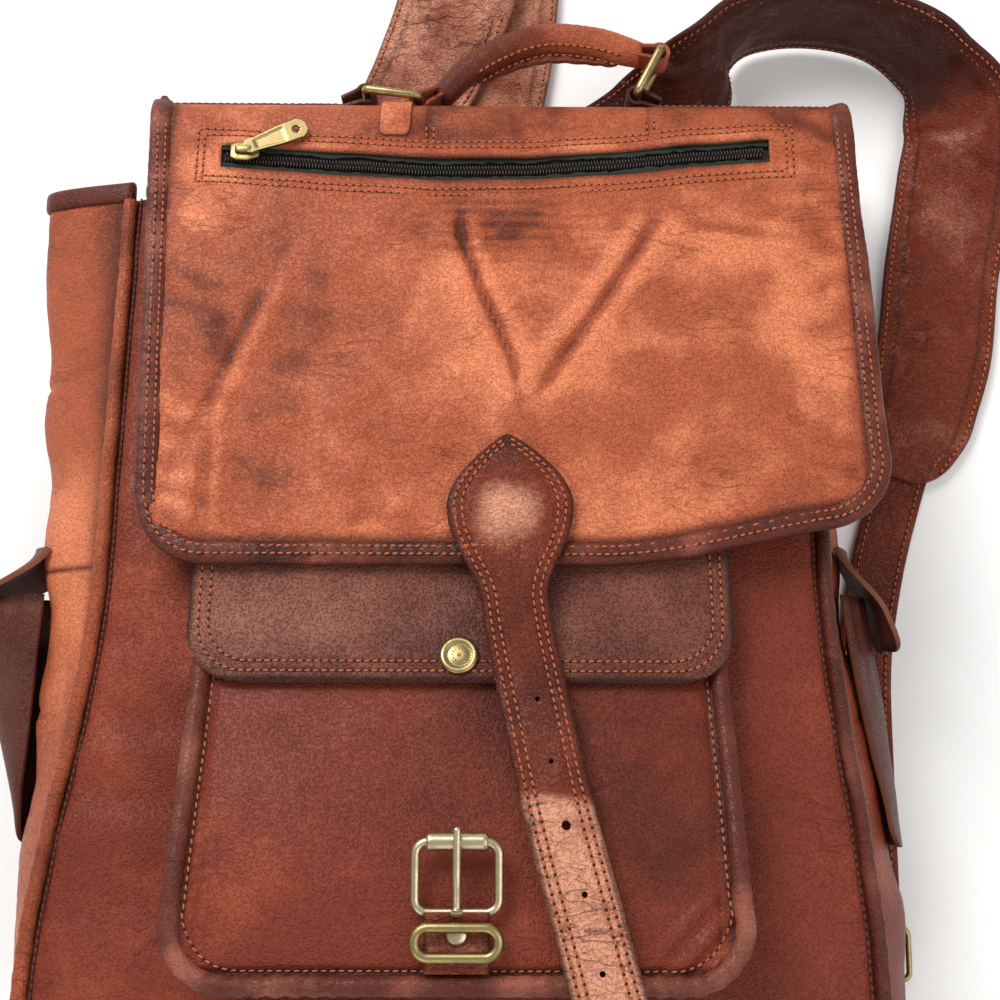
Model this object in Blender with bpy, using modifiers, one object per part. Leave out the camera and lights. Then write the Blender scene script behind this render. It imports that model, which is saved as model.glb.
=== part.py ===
"""Leather backpack lying on its back, front up.

Metres. +X is to the right of the front as seen from above, +Y is toward the bag's top and +Z is out of its
front. The origin is the centre of the flat outer face of the back panel, which rests at Z = 0.
"""

import math

import bmesh
import bpy
from mathutils import Vector

# Driving dimensions
BODY_TOP = 0.200        # half of the 400 mm body length
BODY_BOTTOM = -0.200
BACK_HALF = 0.148       # half width of the back panel
MOUTH_Y = 0.158         # front rim of the mouth
FRONT_Z_TOP = 0.060     # outer face of the front panel at the mouth
FRONT_SLOPE = 0.11      # the body grows thicker toward the base
RAISE_Y = 0.060         # above this the back panel rises to clear the shoulder straps
RAISE = 0.018
LEATHER = 0.0022
PIPING_R = 0.0029
HINGE_Y, HINGE_Z = 0.193, 0.0640
FLAP_LEFT, FLAP_RIGHT = -0.153, 0.158
FLAP_SLOPE = 0.150
FLAP_THICK = 0.0024
FLAP_LINING = 0.0012
FLAP_RADIUS = 0.026
BINDING_WIDTH = 0.009
BINDING_THICK = 0.0056
ZIP_X0, ZIP_X1, ZIP_Y = -0.121, 0.117, 0.1745
ZIP_HALF = 0.006
SLIDER_X = -0.110
POCKET_X, POCKET_HALF = -0.015, 0.104
POCKET_BOTTOM, POCKET_TOP = -0.166, -0.001
POCKET_RADIUS = 0.022
POCKET_DEPTH_TOP, POCKET_DEPTH_BOTTOM = 0.0078, 0.030
RIM_R = 0.0038
POCKET_HINGE_Y = 0.009
POCKET_FLAP_END = -0.054
SNAP = (-0.0155, -0.0435)
BUCKLE_X, BUCKLE_Y = -0.015, -0.112
BUCKLE_LENGTH = 0.0245
CHAPE_END = -0.1555
RING_ROD = 0.0019
RING_HALF = 0.0105
STRAP_WIDTH = 0.0262
STRAP_THICK = 0.0032
PAD_THICK = 0.0072
NARROW_WIDTH = 0.025
NARROW_THICK = 0.0034

LEATHER_TAN = (0.50, 0.19, 0.075, 1)
LEATHER_RED = (0.26, 0.075, 0.035, 1)
LEATHER_DARK = (0.15, 0.045, 0.025, 1)
CANVAS = (0.025, 0.045, 0.030, 1)
BRASS = (0.36, 0.26, 0.12, 1)
FOAM = (0.25, 0.24, 0.22, 1)

for stale in list(bpy.data.objects):
    bpy.data.objects.remove(stale, do_unlink=True)
PARTS = bpy.data.collections.new("leather_backpack")
CUTTERS = bpy.data.collections.new("cutters")
bpy.context.scene.collection.children.link(PARTS)
bpy.context.scene.collection.children.link(CUTTERS)
MATERIALS = {}


def material(name, colour, roughness=0.5, metallic=0.0):
    """One Principled material for each kind of surface."""
    if name not in MATERIALS:
        made = bpy.data.materials.new(name)
        made.use_nodes = True
        shader = made.node_tree.nodes["Principled BSDF"]
        shader.inputs["Base Color"].default_value = colour
        shader.inputs["Roughness"].default_value = roughness
        shader.inputs["Metallic"].default_value = metallic
        MATERIALS[name] = made
    return MATERIALS[name]


def tan():
    return material("leather_tan", LEATHER_TAN)


def red():
    return material("leather_red", LEATHER_RED)


def dark():
    return material("leather_dark", LEATHER_DARK)


def canvas():
    return material("canvas", CANVAS, 0.9)


def brass():
    return material("brass", BRASS, 0.35, 1.0)


def smooth(t):
    """Ease from 0 to 1."""
    t = min(1.0, max(0.0, t))
    return t * t * (3 - 2 * t)


def between(a, b, t):
    return a + (b - a) * t


def back_z(y):
    """Height of the back panel's outer face."""
    return RAISE * max(0.0, (y - RAISE_Y) / (BODY_TOP - RAISE_Y)) ** 1.2


def front_z(y):
    """Height of the front panel's outer face."""
    return FRONT_Z_TOP + (MOUTH_Y - y) * FRONT_SLOPE


def front_left(y):
    return -0.162 - 0.017 * smooth((-0.01 - y) / 0.16)


def front_right(y):
    return 0.133 + 0.012 * smooth((-0.01 - y) / 0.16)


def flap_z(y):
    """Height of the flap's upper face."""
    return HINGE_Z + 0.004 + (HINGE_Y - y) * FLAP_SLOPE


def flap_end(x):
    """Lower edge of the main flap."""
    return -0.008 + 0.018 * smooth((x - 0.04) / 0.12)


def gusset(side, y, t):
    """Outer surface of a side wall: t runs from the back seam to the front seam."""
    low = back_z(y) + 0.004
    high = front_z(y) - 0.0048
    if side < 0:
        back, front = -BACK_HALF - 0.002, front_left(y) - 0.0006
        bulge = between(0.025, 0.048, smooth((y + BODY_TOP) / (2 * BODY_TOP)))
    else:
        back, front = BACK_HALF - 0.002, front_right(y) + 0.0006
        bulge = between(0.019, 0.006, smooth((y + 0.16) / 0.17))
    s = max(0.0, (t - 0.12) / 0.88)
    x = between(back, front, s) + side * bulge * math.sin(math.pi * s)
    return Vector((x, y, between(low, high, t)))


def link(obj, mat):
    PARTS.objects.link(obj)
    obj.data.materials.append(mat)
    return obj


def sheet(name, shape, across, along, thick, mat, offset=-1.0):
    """A grid whose points shape(u, v) places, given a thickness. offset -1 grows it behind its normal."""
    mesh = bpy.data.meshes.new(name)
    grid = bmesh.new()
    bmesh.ops.create_grid(grid, x_segments=across, y_segments=along, size=0.5)
    for vert in grid.verts:
        vert.co = Vector(shape(vert.co.x + 0.5, vert.co.y + 0.5))
    grid.normal_update()
    grid.to_mesh(mesh)
    grid.free()
    obj = link(bpy.data.objects.new(name, mesh), mat)
    shell = obj.modifiers.new("thickness", "SOLIDIFY")
    shell.thickness = thick
    shell.offset = offset
    return obj


def tube(name, points, radius, mat, cyclic=False):
    """A round rod along a polyline."""
    curve = bpy.data.curves.new(name, "CURVE")
    curve.dimensions = "3D"
    curve.bevel_depth = radius
    curve.bevel_resolution = 2
    curve.use_fill_caps = True
    line = curve.splines.new("POLY")
    line.points.add(len(points) - 1)
    for point, place in zip(line.points, points):
        point.co = (*place, 1)
    line.use_cyclic_u = cyclic
    return link(bpy.data.objects.new(name, curve), mat)


def plate(name, outline, thick, mat, place, turn=(0, 0, 0)):
    """A flat outline with a thickness, centred on its own plane."""
    curve = bpy.data.curves.new(name, "CURVE")
    curve.dimensions = "2D"
    curve.fill_mode = "BOTH"
    curve.extrude = thick / 2
    line = curve.splines.new("POLY")
    line.points.add(len(outline) - 1)
    for point, at in zip(line.points, outline):
        point.co = (at[0], at[1], 0, 1)
    line.use_cyclic_u = True
    obj = link(bpy.data.objects.new(name, curve), mat)
    obj.location = place
    obj.rotation_euler = turn
    return obj


def box(name, low, high, mat, bevel=0.0):
    """A block between two corners."""
    mesh = bpy.data.meshes.new(name)
    cube = bmesh.new()
    bmesh.ops.create_cube(cube, size=1.0)
    middle = (Vector(low) + Vector(high)) / 2
    size = Vector(high) - Vector(low)
    for vert in cube.verts:
        vert.co = Vector(a * b for a, b in zip(vert.co, size))
    cube.to_mesh(mesh)
    cube.free()
    obj = link(bpy.data.objects.new(name, mesh), mat)
    obj.location = middle
    if bevel:
        edge = obj.modifiers.new("edge", "BEVEL")
        edge.width = bevel
        edge.segments = 2
    return obj


def disc(name, radius, height, mat, place, turn=(0, 0, 0), top=None, sides=24):
    """A cylinder or cone along its own Z."""
    mesh = bpy.data.meshes.new(name)
    cone = bmesh.new()
    bmesh.ops.create_cone(
        cone, cap_ends=True, segments=sides, radius1=radius, radius2=radius if top is None else top,
        depth=height,
    )
    cone.to_mesh(mesh)
    cone.free()
    obj = link(bpy.data.objects.new(name, mesh), mat)
    obj.location = place
    obj.rotation_euler = turn
    return obj


def as_mesh(obj):
    """Replaces a curve object by its welded mesh, so that Booleans can use it."""
    made = bpy.data.meshes.new_from_object(obj.evaluated_get(bpy.context.evaluated_depsgraph_get()))
    weld = bmesh.new()
    weld.from_mesh(made)
    bmesh.ops.remove_doubles(weld, verts=weld.verts, dist=0.00001)
    bmesh.ops.recalc_face_normals(weld, faces=weld.faces)
    weld.to_mesh(made)
    weld.free()
    name, matrix = obj.name, obj.matrix_world.copy()
    bpy.data.objects.remove(obj, do_unlink=True)
    fresh = bpy.data.objects.new(name, made)
    fresh.matrix_world = matrix
    PARTS.objects.link(fresh)
    return fresh


def bore_through(obj, points, radius):
    """Cuts a round hole along a line through a mesh object."""
    core = as_mesh(tube(f"{obj.name}_cutter", points, radius, brass()))
    to_cutters(core)
    bore = obj.modifiers.new("bore", "BOOLEAN")
    bore.operation = "DIFFERENCE"
    bore.object = core


def to_cutters(obj):
    """Moves a helper to the collection that isn't part of the bag."""
    PARTS.objects.unlink(obj)
    CUTTERS.objects.link(obj)
    obj.hide_render = True
    obj.display_type = "WIRE"


def smooth_line(points, count):
    """Catmull-Rom curve through points, as count evenly numbered places."""
    knots = [Vector(p) for p in points]
    knots = [2 * knots[0] - knots[1]] + knots + [2 * knots[-1] - knots[-2]]
    spans = len(points) - 1
    line = []
    for i in range(count):
        at = i * spans / (count - 1)
        k = min(int(at), spans - 1)
        t = at - k
        a, b, c, d = knots[k:k + 4]
        line.append(0.5 * ((2 * b) + (c - a) * t + (2 * a - 5 * b + 4 * c - d) * t**2
                           + (3 * b - a - 3 * c + d) * t**3))
    return line


def band(name, route, widths, leans, thick, mat, count=24):
    """A strap along a route. lean 0 lies flat, and 90 stands on its edge. Width and lean ease between knots."""
    centre = smooth_line(route, count)

    def value(knots, i):
        at = i * (len(knots) - 1) / (count - 1)
        k = min(int(at), len(knots) - 2)
        return between(knots[k], knots[k + 1], smooth(at - k))

    sides = []
    for i in range(count):
        ahead = (centre[min(i + 1, count - 1)] - centre[max(i - 1, 0)]).normalized()
        flat = ahead.cross(Vector((0, 0, 1)))
        if flat.length < 0.3 and sides:
            flat = sides[-1][0]
        flat.normalize()
        if sides and flat.dot(sides[-1][0]) < 0:
            flat = -flat
        lean = math.radians(value(leans, i))
        sides.append((flat, flat * math.cos(lean) + flat.cross(ahead) * math.sin(lean)))

    def shape(u, v):
        i = round(v * (count - 1))
        return centre[i] + sides[i][1] * (u - 0.5) * value(widths, i)

    return sheet(name, shape, 2, count - 1, thick, mat, offset=0.0)


def rounded(width, height, radius, steps=5):
    """Points of a rectangle with round corners, anticlockwise."""
    points = []
    for cx, cy, start in ((1, 1, 0), (-1, 1, 90), (-1, -1, 180), (1, -1, 270)):
        for k in range(steps + 1):
            angle = math.radians(start + 90 * k / steps)
            points.append((cx * (width / 2 - radius) + radius * math.cos(angle),
                           cy * (height / 2 - radius) + radius * math.sin(angle)))
    return points


def corner_inset(distance, radius):
    """How far a round corner draws a side in, at a distance from the end."""
    if distance >= radius:
        return 0.0
    return radius - math.sqrt(max(0.0, radius**2 - (radius - distance)**2))


# Body -------------------------------------------------------------------------------------------------------

def make_body():
    top = BODY_TOP - 0.004
    knots = (BODY_BOTTOM, 0.0, RAISE_Y, 0.085, 0.110, 0.135, 0.160, 0.180, top)

    def along(v, rows=knots):
        at = v * (len(rows) - 1)
        k = min(int(at + 1e-6), len(rows) - 2)
        return between(rows[k], rows[k + 1], at - k)

    sheet("back_panel", lambda u, v: (between(-BACK_HALF, BACK_HALF - 0.004, u), along(v), back_z(along(v))),
          1, len(knots) - 1, 0.0026, tan(), offset=1.0)
    sheet("back_foam",
          lambda u, v: (between(-0.141, 0.137, u), along(v, (-0.194, 0.06, 0.11, 0.15, 0.188)),
                        back_z(along(v, (-0.194, 0.06, 0.11, 0.15, 0.188))) + 0.0038),
          1, 4, 0.0040, material("foam", FOAM, 0.9), offset=1.0)
    low = BODY_BOTTOM + 0.001
    sheet("left_gusset", lambda u, v: gusset(-1, between(low, 0.162, v), u), 8, 9, LEATHER, tan())
    sheet("right_gusset", lambda u, v: gusset(1, between(low, 0.150, v), 1 - u), 8, 9, LEATHER, red())

    def front(u, v):
        y = between(low, MOUTH_Y, v)
        return (between(front_left(y) + 0.0036, front_right(y) - 0.0036, u), y, front_z(y))

    sheet("front_panel", front, 6, 10, LEATHER, red())

    def base(u, v):
        left = gusset(-1, low, v)
        right = gusset(1, low, v)
        x = between(left.x, right.x, u)
        return (x, BODY_BOTTOM - 0.0006, between(left.z, right.z, v))

    sheet("base_panel", base, 4, 8, 0.0030, red(), offset=1.0)
    box("base_board", (-0.140, BODY_BOTTOM + 0.0010, 0.012), (0.128, BODY_BOTTOM + 0.0032, 0.086),
        material("board", (0.10, 0.08, 0.06, 1), 0.9))
    for side, edge, name in ((-1, front_left, "left_piping"), (1, front_right, "right_piping")):
        rows = [between(low, MOUTH_Y - 0.001, k / 16) for k in range(17)]
        tube(name, [(edge(y), y, front_z(y) - 0.0016) for y in rows], PIPING_R,
             tan() if side < 0 else dark())
    band("mouth_binding", [(front_left(0) + 0.006, MOUTH_Y + 0.0030, FRONT_Z_TOP - 0.0012),
                           (front_right(0) - 0.006, MOUTH_Y + 0.0030, FRONT_Z_TOP - 0.0012)],
         (0.0046, 0.0046), (0, 0), 0.0042, dark(), count=6)

    box("top_band", (-0.150, BODY_TOP - 0.0020, 0.0205), (0.150, BODY_TOP + 0.0006, 0.0610), tan())


def make_lining():
    """An open bag of canvas inside the body: back, sides, base and front in one sheet of walls."""
    def walls(u, v):
        y = between(-0.193, 0.150, v)
        turn = u * 4
        left = -0.138
        right = 0.124
        low = back_z(y) + 0.0092
        high = front_z(y) - 0.0045
        corners = [(left, low), (left, high), (right, high), (right, low), (left, low)]
        k = min(int(turn + 1e-6), 3)
        x = between(corners[k][0], corners[k + 1][0], turn - k)
        z = between(corners[k][1], corners[k + 1][1], turn - k)
        return (x, y, z)

    obj = sheet("lining", walls, 8, 8, 0.0010, canvas(), offset=0.0)
    weld = bmesh.new()
    weld.from_mesh(obj.data)
    bmesh.ops.remove_doubles(weld, verts=weld.verts, dist=0.00001)
    ends = [e for e in weld.edges if e.is_boundary and all(v.co.y < -0.19 for v in e.verts)]
    bmesh.ops.holes_fill(weld, edges=ends)
    bmesh.ops.recalc_face_normals(weld, faces=weld.faces)
    weld.to_mesh(obj.data)
    weld.free()


# Main flap --------------------------------------------------------------------------------------------------

def flap_point(u, v, inset=0.0, drop=0.0):
    """A place on the flap: u across, v from the hinge to the lower edge, with round lower corners."""
    left = between(FLAP_LEFT, FLAP_LEFT + 0.0085, v) + inset
    right = between(FLAP_RIGHT - 0.004, FLAP_RIGHT, v) - inset
    x = between(left, right, u)
    end = flap_end(x) + inset
    y = between(HINGE_Y - 0.0010, end, v)
    draw = corner_inset(y - end, FLAP_RADIUS - inset * 0.6)
    x = between(left + draw, right - draw, u)
    return Vector((x, y, flap_z(y) - drop))


def slot_cut(obj):
    """Cuts the zip's slot through the flap leather."""
    cutter = box("zip_slot_cutter", (ZIP_X0, ZIP_Y - ZIP_HALF, 0.040), (ZIP_X1, ZIP_Y + ZIP_HALF, 0.100), dark())
    to_cutters(cutter)
    cut = obj.modifiers.new("zip_slot", "BOOLEAN")
    cut.operation = "DIFFERENCE"
    cut.object = cutter


def ease_rows(v):
    """Packs a grid's rows toward the lower edge, where the corners are round."""
    return 1 - (1 - v) ** 1.7


def make_flap():
    inner = BINDING_WIDTH + 0.0014
    panel = sheet("flap_panel", lambda u, v: flap_point(u, ease_rows(1 - v), inner), 10, 14, FLAP_THICK, tan())
    slot_cut(panel)
    sheet("flap_lining",
          lambda u, v: flap_point(u, ease_rows(1 - v), inner + 0.0045, FLAP_THICK + 0.0038), 8, 12, FLAP_LINING, canvas())
    outline = []
    half = BINDING_WIDTH / 2
    for k in range(11):
        outline.append(flap_point(0.0, k / 10 * 0.84, half))
    for k in range(1, 10):
        outline.append(flap_point(0.0, 0.84 + 0.16 * (k / 10) ** 0.7, half))
    for k in range(13):
        outline.append(flap_point(k / 12, 1.0, half))
    for k in range(9, 0, -1):
        outline.append(flap_point(1.0, 0.84 + 0.16 * (k / 10) ** 0.7, half))
    for k in range(10, -1, -1):
        outline.append(flap_point(1.0, k / 10 * 0.84, half))
    route = [p - Vector((0, 0, 0.0018)) for p in outline]
    count = len(route)

    def shape(u, v):
        i = round(v * (count - 1))
        ahead = (route[min(i + 1, count - 1)] - route[max(i - 1, 0)]).normalized()
        flat = ahead.cross(Vector((0, 0, 1))).normalized()
        return route[i] + flat * (u - 0.5) * BINDING_WIDTH

    sheet("flap_binding", shape, 1, count - 1, BINDING_THICK, dark(), offset=0.0)
    zip_z = flap_z(ZIP_Y) - FLAP_THICK - 0.0007
    tilt = -math.atan(FLAP_SLOPE)
    middle = (ZIP_X0 + ZIP_X1) / 2
    length = ZIP_X1 - ZIP_X0

    def tape(u, v):
        y = ZIP_Y + (u - 0.5) * 0.022
        return (between(ZIP_X0 - 0.005, ZIP_X1 + 0.005, v), y, flap_z(y) - FLAP_THICK - 0.0004)

    sheet("zip_tape", tape, 1, 1, 0.0009, canvas(), offset=-1.0).modifiers["thickness"].offset = 1.0
    teeth = box("zip_teeth", (-length / 2 + 0.005, -0.0024, 0), (length / 2 - 0.005, 0.0024, 0.0014), dark())
    teeth.location = (middle, ZIP_Y, zip_z + 0.0016)
    teeth.rotation_euler = (tilt, 0, 0)
    sheet("zip_pouch",
          lambda u, v: (between(-0.128, 0.124, u), between(0.184, 0.080, v),
                        flap_z(between(0.184, 0.080, v)) - FLAP_THICK - 0.0018),
          4, 5, 0.0012, canvas(), offset=1.0)
    slider_z = flap_z(ZIP_Y) + 0.0016
    plate("zip_slider", rounded(0.0125, 0.0088, 0.0030), 0.0030, brass(),
          (SLIDER_X, ZIP_Y, slider_z), (tilt, 0, 0))
    puller_turn = math.radians(25)
    empty = bpy.data.objects.new("puller_axis", None)
    bpy.context.scene.collection.objects.link(empty)
    empty.location = (SLIDER_X + 0.0005, ZIP_Y, slider_z + 0.0032)
    empty.rotation_euler = (tilt, math.radians(3), puller_turn)
    body = rounded(0.0290, 0.0078, 0.0036)
    puller = plate("zip_puller", body, 0.0014, brass(), (0.0150, 0, 0))
    puller.parent = empty


# Closing strap ----------------------------------------------------------------------------------------------

def leaf_half(t):
    """Half width of the spade leaf, from its tip (0) to its seam (1)."""
    if t < 0.62:
        return 0.0245 * math.sin(math.pi / 2 * t / 0.62) ** 0.85 + 0.0004
    return between(0.0249, STRAP_WIDTH / 2 + 0.0045, smooth((t - 0.62) / 0.38))


def make_strap():
    tip = Vector((0.003, 0.046))
    seam = Vector((0.0045, -0.004))

    def leaf(u, v):
        t = v * 0.97 + 0.03
        place = tip.lerp(seam, t)
        x = place.x + (0.5 - u) * 2 * leaf_half(t)
        return (x, place.y, flap_z(place.y) + 0.0019)

    sheet("strap_leaf", leaf, 4, 10, STRAP_THICK, dark(), offset=1.0)
    route = [(0.0050, -0.0090, flap_z(-0.008) + 0.0040), (0.0070, -0.030, flap_z(-0.008) + 0.0066),
             (0.0130, -0.060, 0.1105), (0.0215, -0.100, 0.1215), (0.0305, -0.135, 0.1290),
             (0.0385, -0.165, 0.1325), (0.0445, -0.188, 0.1310), (0.0490, -0.206, 0.1250)]
    band("closing_strap", route, (STRAP_WIDTH + 0.008, STRAP_WIDTH, STRAP_WIDTH, STRAP_WIDTH,
                                  STRAP_WIDTH * 0.96), (0, 0, 0, 0), STRAP_THICK, red(), count=26)


# Front pocket -----------------------------------------------------------------------------------------------

def pocket_depth(y):
    return between(POCKET_DEPTH_TOP, POCKET_DEPTH_BOTTOM, smooth((POCKET_TOP - y) / 0.150))


def pocket_point(u, v, inset):
    """A place on the pocket's face: v runs from its mouth to its bottom, with round lower corners."""
    half = between(POCKET_HALF - 0.001, POCKET_HALF + 0.004, v) - inset
    y = between(POCKET_TOP, POCKET_BOTTOM + inset, v)
    draw = corner_inset(y - POCKET_BOTTOM - inset, POCKET_RADIUS)
    x = POCKET_X + between(-half + draw, half - draw, u)
    return Vector((x, y, front_z(y) + pocket_depth(y)))


def pocket_outline(inset, steps=8):
    """The pocket's sides and bottom as one line, from mouth to mouth."""
    line = [pocket_point(0.0, k / steps * 0.84, inset) for k in range(steps + 1)]
    line += [pocket_point(0.0, 0.84 + 0.16 * (k / 7) ** 0.6, inset) for k in range(1, 7)]
    line += [pocket_point(k / steps, 1.0, inset) for k in range(steps + 1)]
    line += [pocket_point(1.0, 0.84 + 0.16 * (k / 7) ** 0.6, inset) for k in range(6, 0, -1)]
    line += [pocket_point(1.0, k / steps * 0.84, inset) for k in range(steps, -1, -1)]
    return line


def make_pocket():
    sheet("pocket_panel", lambda u, v: pocket_point(u, ease_rows(1 - v), 2 * RIM_R + 0.0006), 8, 12, LEATHER,
          red())
    line = pocket_outline(RIM_R)
    tube("pocket_rim", [p - Vector((0, 0, 0.0010)) for p in line], RIM_R, dark())
    count = len(line)

    def wall(u, v):
        i = round(v * (count - 1))
        place = line[i]
        low = front_z(place.y) + 0.0006
        high = place.z - 0.0010 - RIM_R - 0.0008
        return (place.x, place.y, between(low, high, u))

    sheet("pocket_wall", wall, 2, count - 1, LEATHER, red(), offset=0.0)

    def flap(u, v):
        y = between(POCKET_HINGE_Y, POCKET_FLAP_END, v ** 1.5)
        draw = corner_inset(y - POCKET_FLAP_END, 0.021)
        x = POCKET_X + between(-0.1065 + draw, 0.1065 - draw, 1 - u)
        return (x, y, pocket_flap_z(y))

    sheet("pocket_flap", flap, 8, 10, 0.0026, dark(), offset=-1.0)
    x, y = SNAP
    cap_z = pocket_flap_z(y)
    lean = math.atan((pocket_flap_z(y + 0.005) - pocket_flap_z(y - 0.005)) / 0.010)
    disc("snap_cap", 0.0075, 0.0018, brass(), (x, y, cap_z + 0.0015), (lean, 0, 0), top=0.0062)
    disc("snap_socket", 0.0046, 0.0009, brass(), (x, y, cap_z - 0.0037), (lean, 0, 0))
    disc("snap_stud", 0.0034, 0.0010, brass(), (x, y, face_z(y) + 0.0009), (lean, 0, 0))


def pocket_flap_z(y):
    """Upper face of the pocket's flap, which lies over the pocket's mouth."""
    base = front_z(y) + 0.0033
    over = front_z(y) + pocket_depth(y) + RIM_R + 0.0025
    return between(base, over, smooth((POCKET_HINGE_Y - y) / 0.0080))


# Buckle -----------------------------------------------------------------------------------------------------

def face_z(y):
    return front_z(y) + pocket_depth(y)


def rectangle(x0, x1, y0, y1, z, radius=0.004, steps=4):
    """Rounded rectangle in a level plane, as points."""
    return [Vector(((x0 + x1) / 2 + a, (y0 + y1) / 2 + b, z)) for a, b in
            rounded(x1 - x0, y1 - y0, radius, steps)]


def make_buckle():
    x = BUCKLE_X
    z = face_z(-0.125) + 0.0080
    bar_y = BUCKLE_Y - BUCKLE_LENGTH
    tube("buckle_frame", rectangle(x - 0.0150, x + 0.0150, bar_y, BUCKLE_Y, z, 0.003), 0.0017, brass(),
         cyclic=True)
    roller = as_mesh(tube("buckle_roller", [(x - 0.0110, BUCKLE_Y, z), (x + 0.0110, BUCKLE_Y, z)], 0.0034,
                          brass()))
    bore_through(roller, [(x - 0.02, BUCKLE_Y, z), (x + 0.02, BUCKLE_Y, z)], 0.0020)
    tube("buckle_tongue", [(x, bar_y + 0.0040, z + 0.0024), (x, bar_y + 0.014, z + 0.0050),
                           (x, BUCKLE_Y - 0.002, z + 0.0056), (x, BUCKLE_Y + 0.0055, z + 0.0050)], 0.0014, brass())

    def chape_z(y):
        return face_z(y) + 0.0016

    def chape(u, v):
        y = between(CHAPE_END, bar_y - 0.0024, v)
        return (x + (u - 0.5) * 0.0235, y, chape_z(y) + 0.0022)

    sheet("buckle_chape", chape, 2, 5, 0.0022, red())
    lean = math.atan((face_z(-0.140) - face_z(-0.150)) / 0.010)
    disc("chape_rivet", 0.0040, 0.0010, brass(), (x, -0.1440, chape_z(-0.1440) + 0.0031), (lean, 0, 0), top=0.0030)
    ring_y = (-0.1515, -0.1412)
    ring_z = chape_z(-0.1440) + 0.0022 + 0.0014 + 0.0030
    tube("keeper_ring", rectangle(x - 0.0155, x + 0.0155, ring_y[0], ring_y[1], ring_z, 0.0052), 0.0019, brass(),
         cyclic=True)


# Handle -----------------------------------------------------------------------------------------------------

HANDLE_Z = 0.0530
RING_LEFT = ((-0.060, 0.2085), (-0.036, 0.2055))
RING_RIGHT = ((0.061, 0.2085), (0.0715, 0.2290))


def make_handle():
    for name, (inner, outer) in (("ring_left", RING_LEFT), ("ring_right", RING_RIGHT)):
        corners = []
        for (x, y), ends in ((inner, (-1, 1)), (outer, (1, -1))):
            corners += [Vector((x, y, HANDLE_Z + end * RING_HALF)) for end in ends]
        tube(name, corners, RING_ROD, brass(), cyclic=True)
    left, right = RING_LEFT[1], RING_RIGHT[1]
    route = [(left[0] + 0.0085, left[1] + 0.0030, HANDLE_Z), (-0.014, 0.2225, HANDLE_Z), (0.005, 0.2335, HANDLE_Z),
             (0.022, 0.2380, HANDLE_Z), (0.042, 0.2365, HANDLE_Z), (0.056, 0.2325, HANDLE_Z),
             (right[0] - 0.0075, right[1] + 0.0010, HANDLE_Z)]
    line = smooth_line(route, 15)
    grip = as_mesh(tube("handle_grip", line, 0.0070, tan()))
    bore_through(grip, [line[0] * 2 - line[1]] + line[1:-1] + [line[-1] * 2 - line[-2]], 0.0036)
    tube("handle_core", line, 0.0032, canvas())
    for name, at, toward in (("handle_loop_left", left, route[0]), ("handle_loop_right", right, route[-1])):
        centre = Vector((at[0], at[1], HANDLE_Z))
        ahead = (Vector(toward) - centre).normalized()
        loop_around(name, centre, ahead, 0.0028, 0.0066, RING_ROD + 0.0011, 0.0016)
    for name, pivot, far in (("handle_tab_left", RING_LEFT[0], -0.150), ("handle_tab_right", RING_RIGHT[0], 0.150)):
        side = 1 if far > 0 else -1
        low_x, high_x = sorted((pivot[0] + side * 0.007, far))
        box(name, (low_x, BODY_TOP + 0.0012, HANDLE_Z - 0.0085), (high_x, BODY_TOP + 0.0036, HANDLE_Z + 0.0070),
            dark(), bevel=0.0006)
        centre = Vector((pivot[0], pivot[1], HANDLE_Z))
        loop_around(f"{name}_loop", centre, Vector((side, -0.35, 0)).normalized(), 0.0028, 0.0062,
                    RING_ROD + 0.0011, 0.0016)


def loop_around(name, centre, ahead, start, half_height, radius, thick):
    """A leather loop round a ring's bar: a C of sheet, open toward the piece that it is sewn to."""
    side = Vector((-ahead.y, ahead.x, 0))

    def shape(u, v):
        angle = between(math.radians(42), math.radians(318), v)
        place = centre + ahead * radius * math.cos(angle) + side * radius * math.sin(angle)
        return (place.x, place.y, centre.z + between(-half_height, half_height, u))

    sheet(name, shape, 1, 14, thick, tan(), offset=-1.0)


# Side pockets -----------------------------------------------------------------------------------------------

def make_side_pockets():
    for side, name, depth in ((-1, "left", 0.020), (1, "right", 0.0055)):
        def wall_x(y, z, side=side):
            low, high = gusset(side, y, 0.0).z, gusset(side, y, 1.0).z
            return gusset(side, y, (z - low) / (high - low)).x

        def pouch(u, v, side=side, depth=depth, wall_x=wall_x):
            y = between(-0.118, -0.016, v)
            z = between(0.027, 0.069, u)
            rise = depth * smooth(0.2 + v * 1.2) * math.sin(math.pi * u) ** 0.6
            return (wall_x(y, z) + side * (0.0030 + rise), y, z)

        sheet(f"{name}_side_pocket", pouch, 8, 6, 0.0018, dark(), offset=1.0 if side < 0 else -1.0)

        def flap(u, v, side=side, depth=depth, wall_x=wall_x):
            y = between(0.004, -0.038, v)
            z = between(0.027, 0.069, u)
            rise = (depth * 1.2 + 0.0035) * smooth(v * 1.6) + 0.003 * v
            return (between(wall_x(y, z), wall_x(y, 0.050), v) + side * (0.0026 + rise), y, z)

        sheet(f"{name}_side_flap", flap, 4, 6, 0.0022, dark(), offset=-1.0 if side < 0 else 1.0)


# Shoulder straps --------------------------------------------------------------------------------------------

ANCHOR_Y = (0.150, 0.188)
NARROW_X = 0.1660


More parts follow.
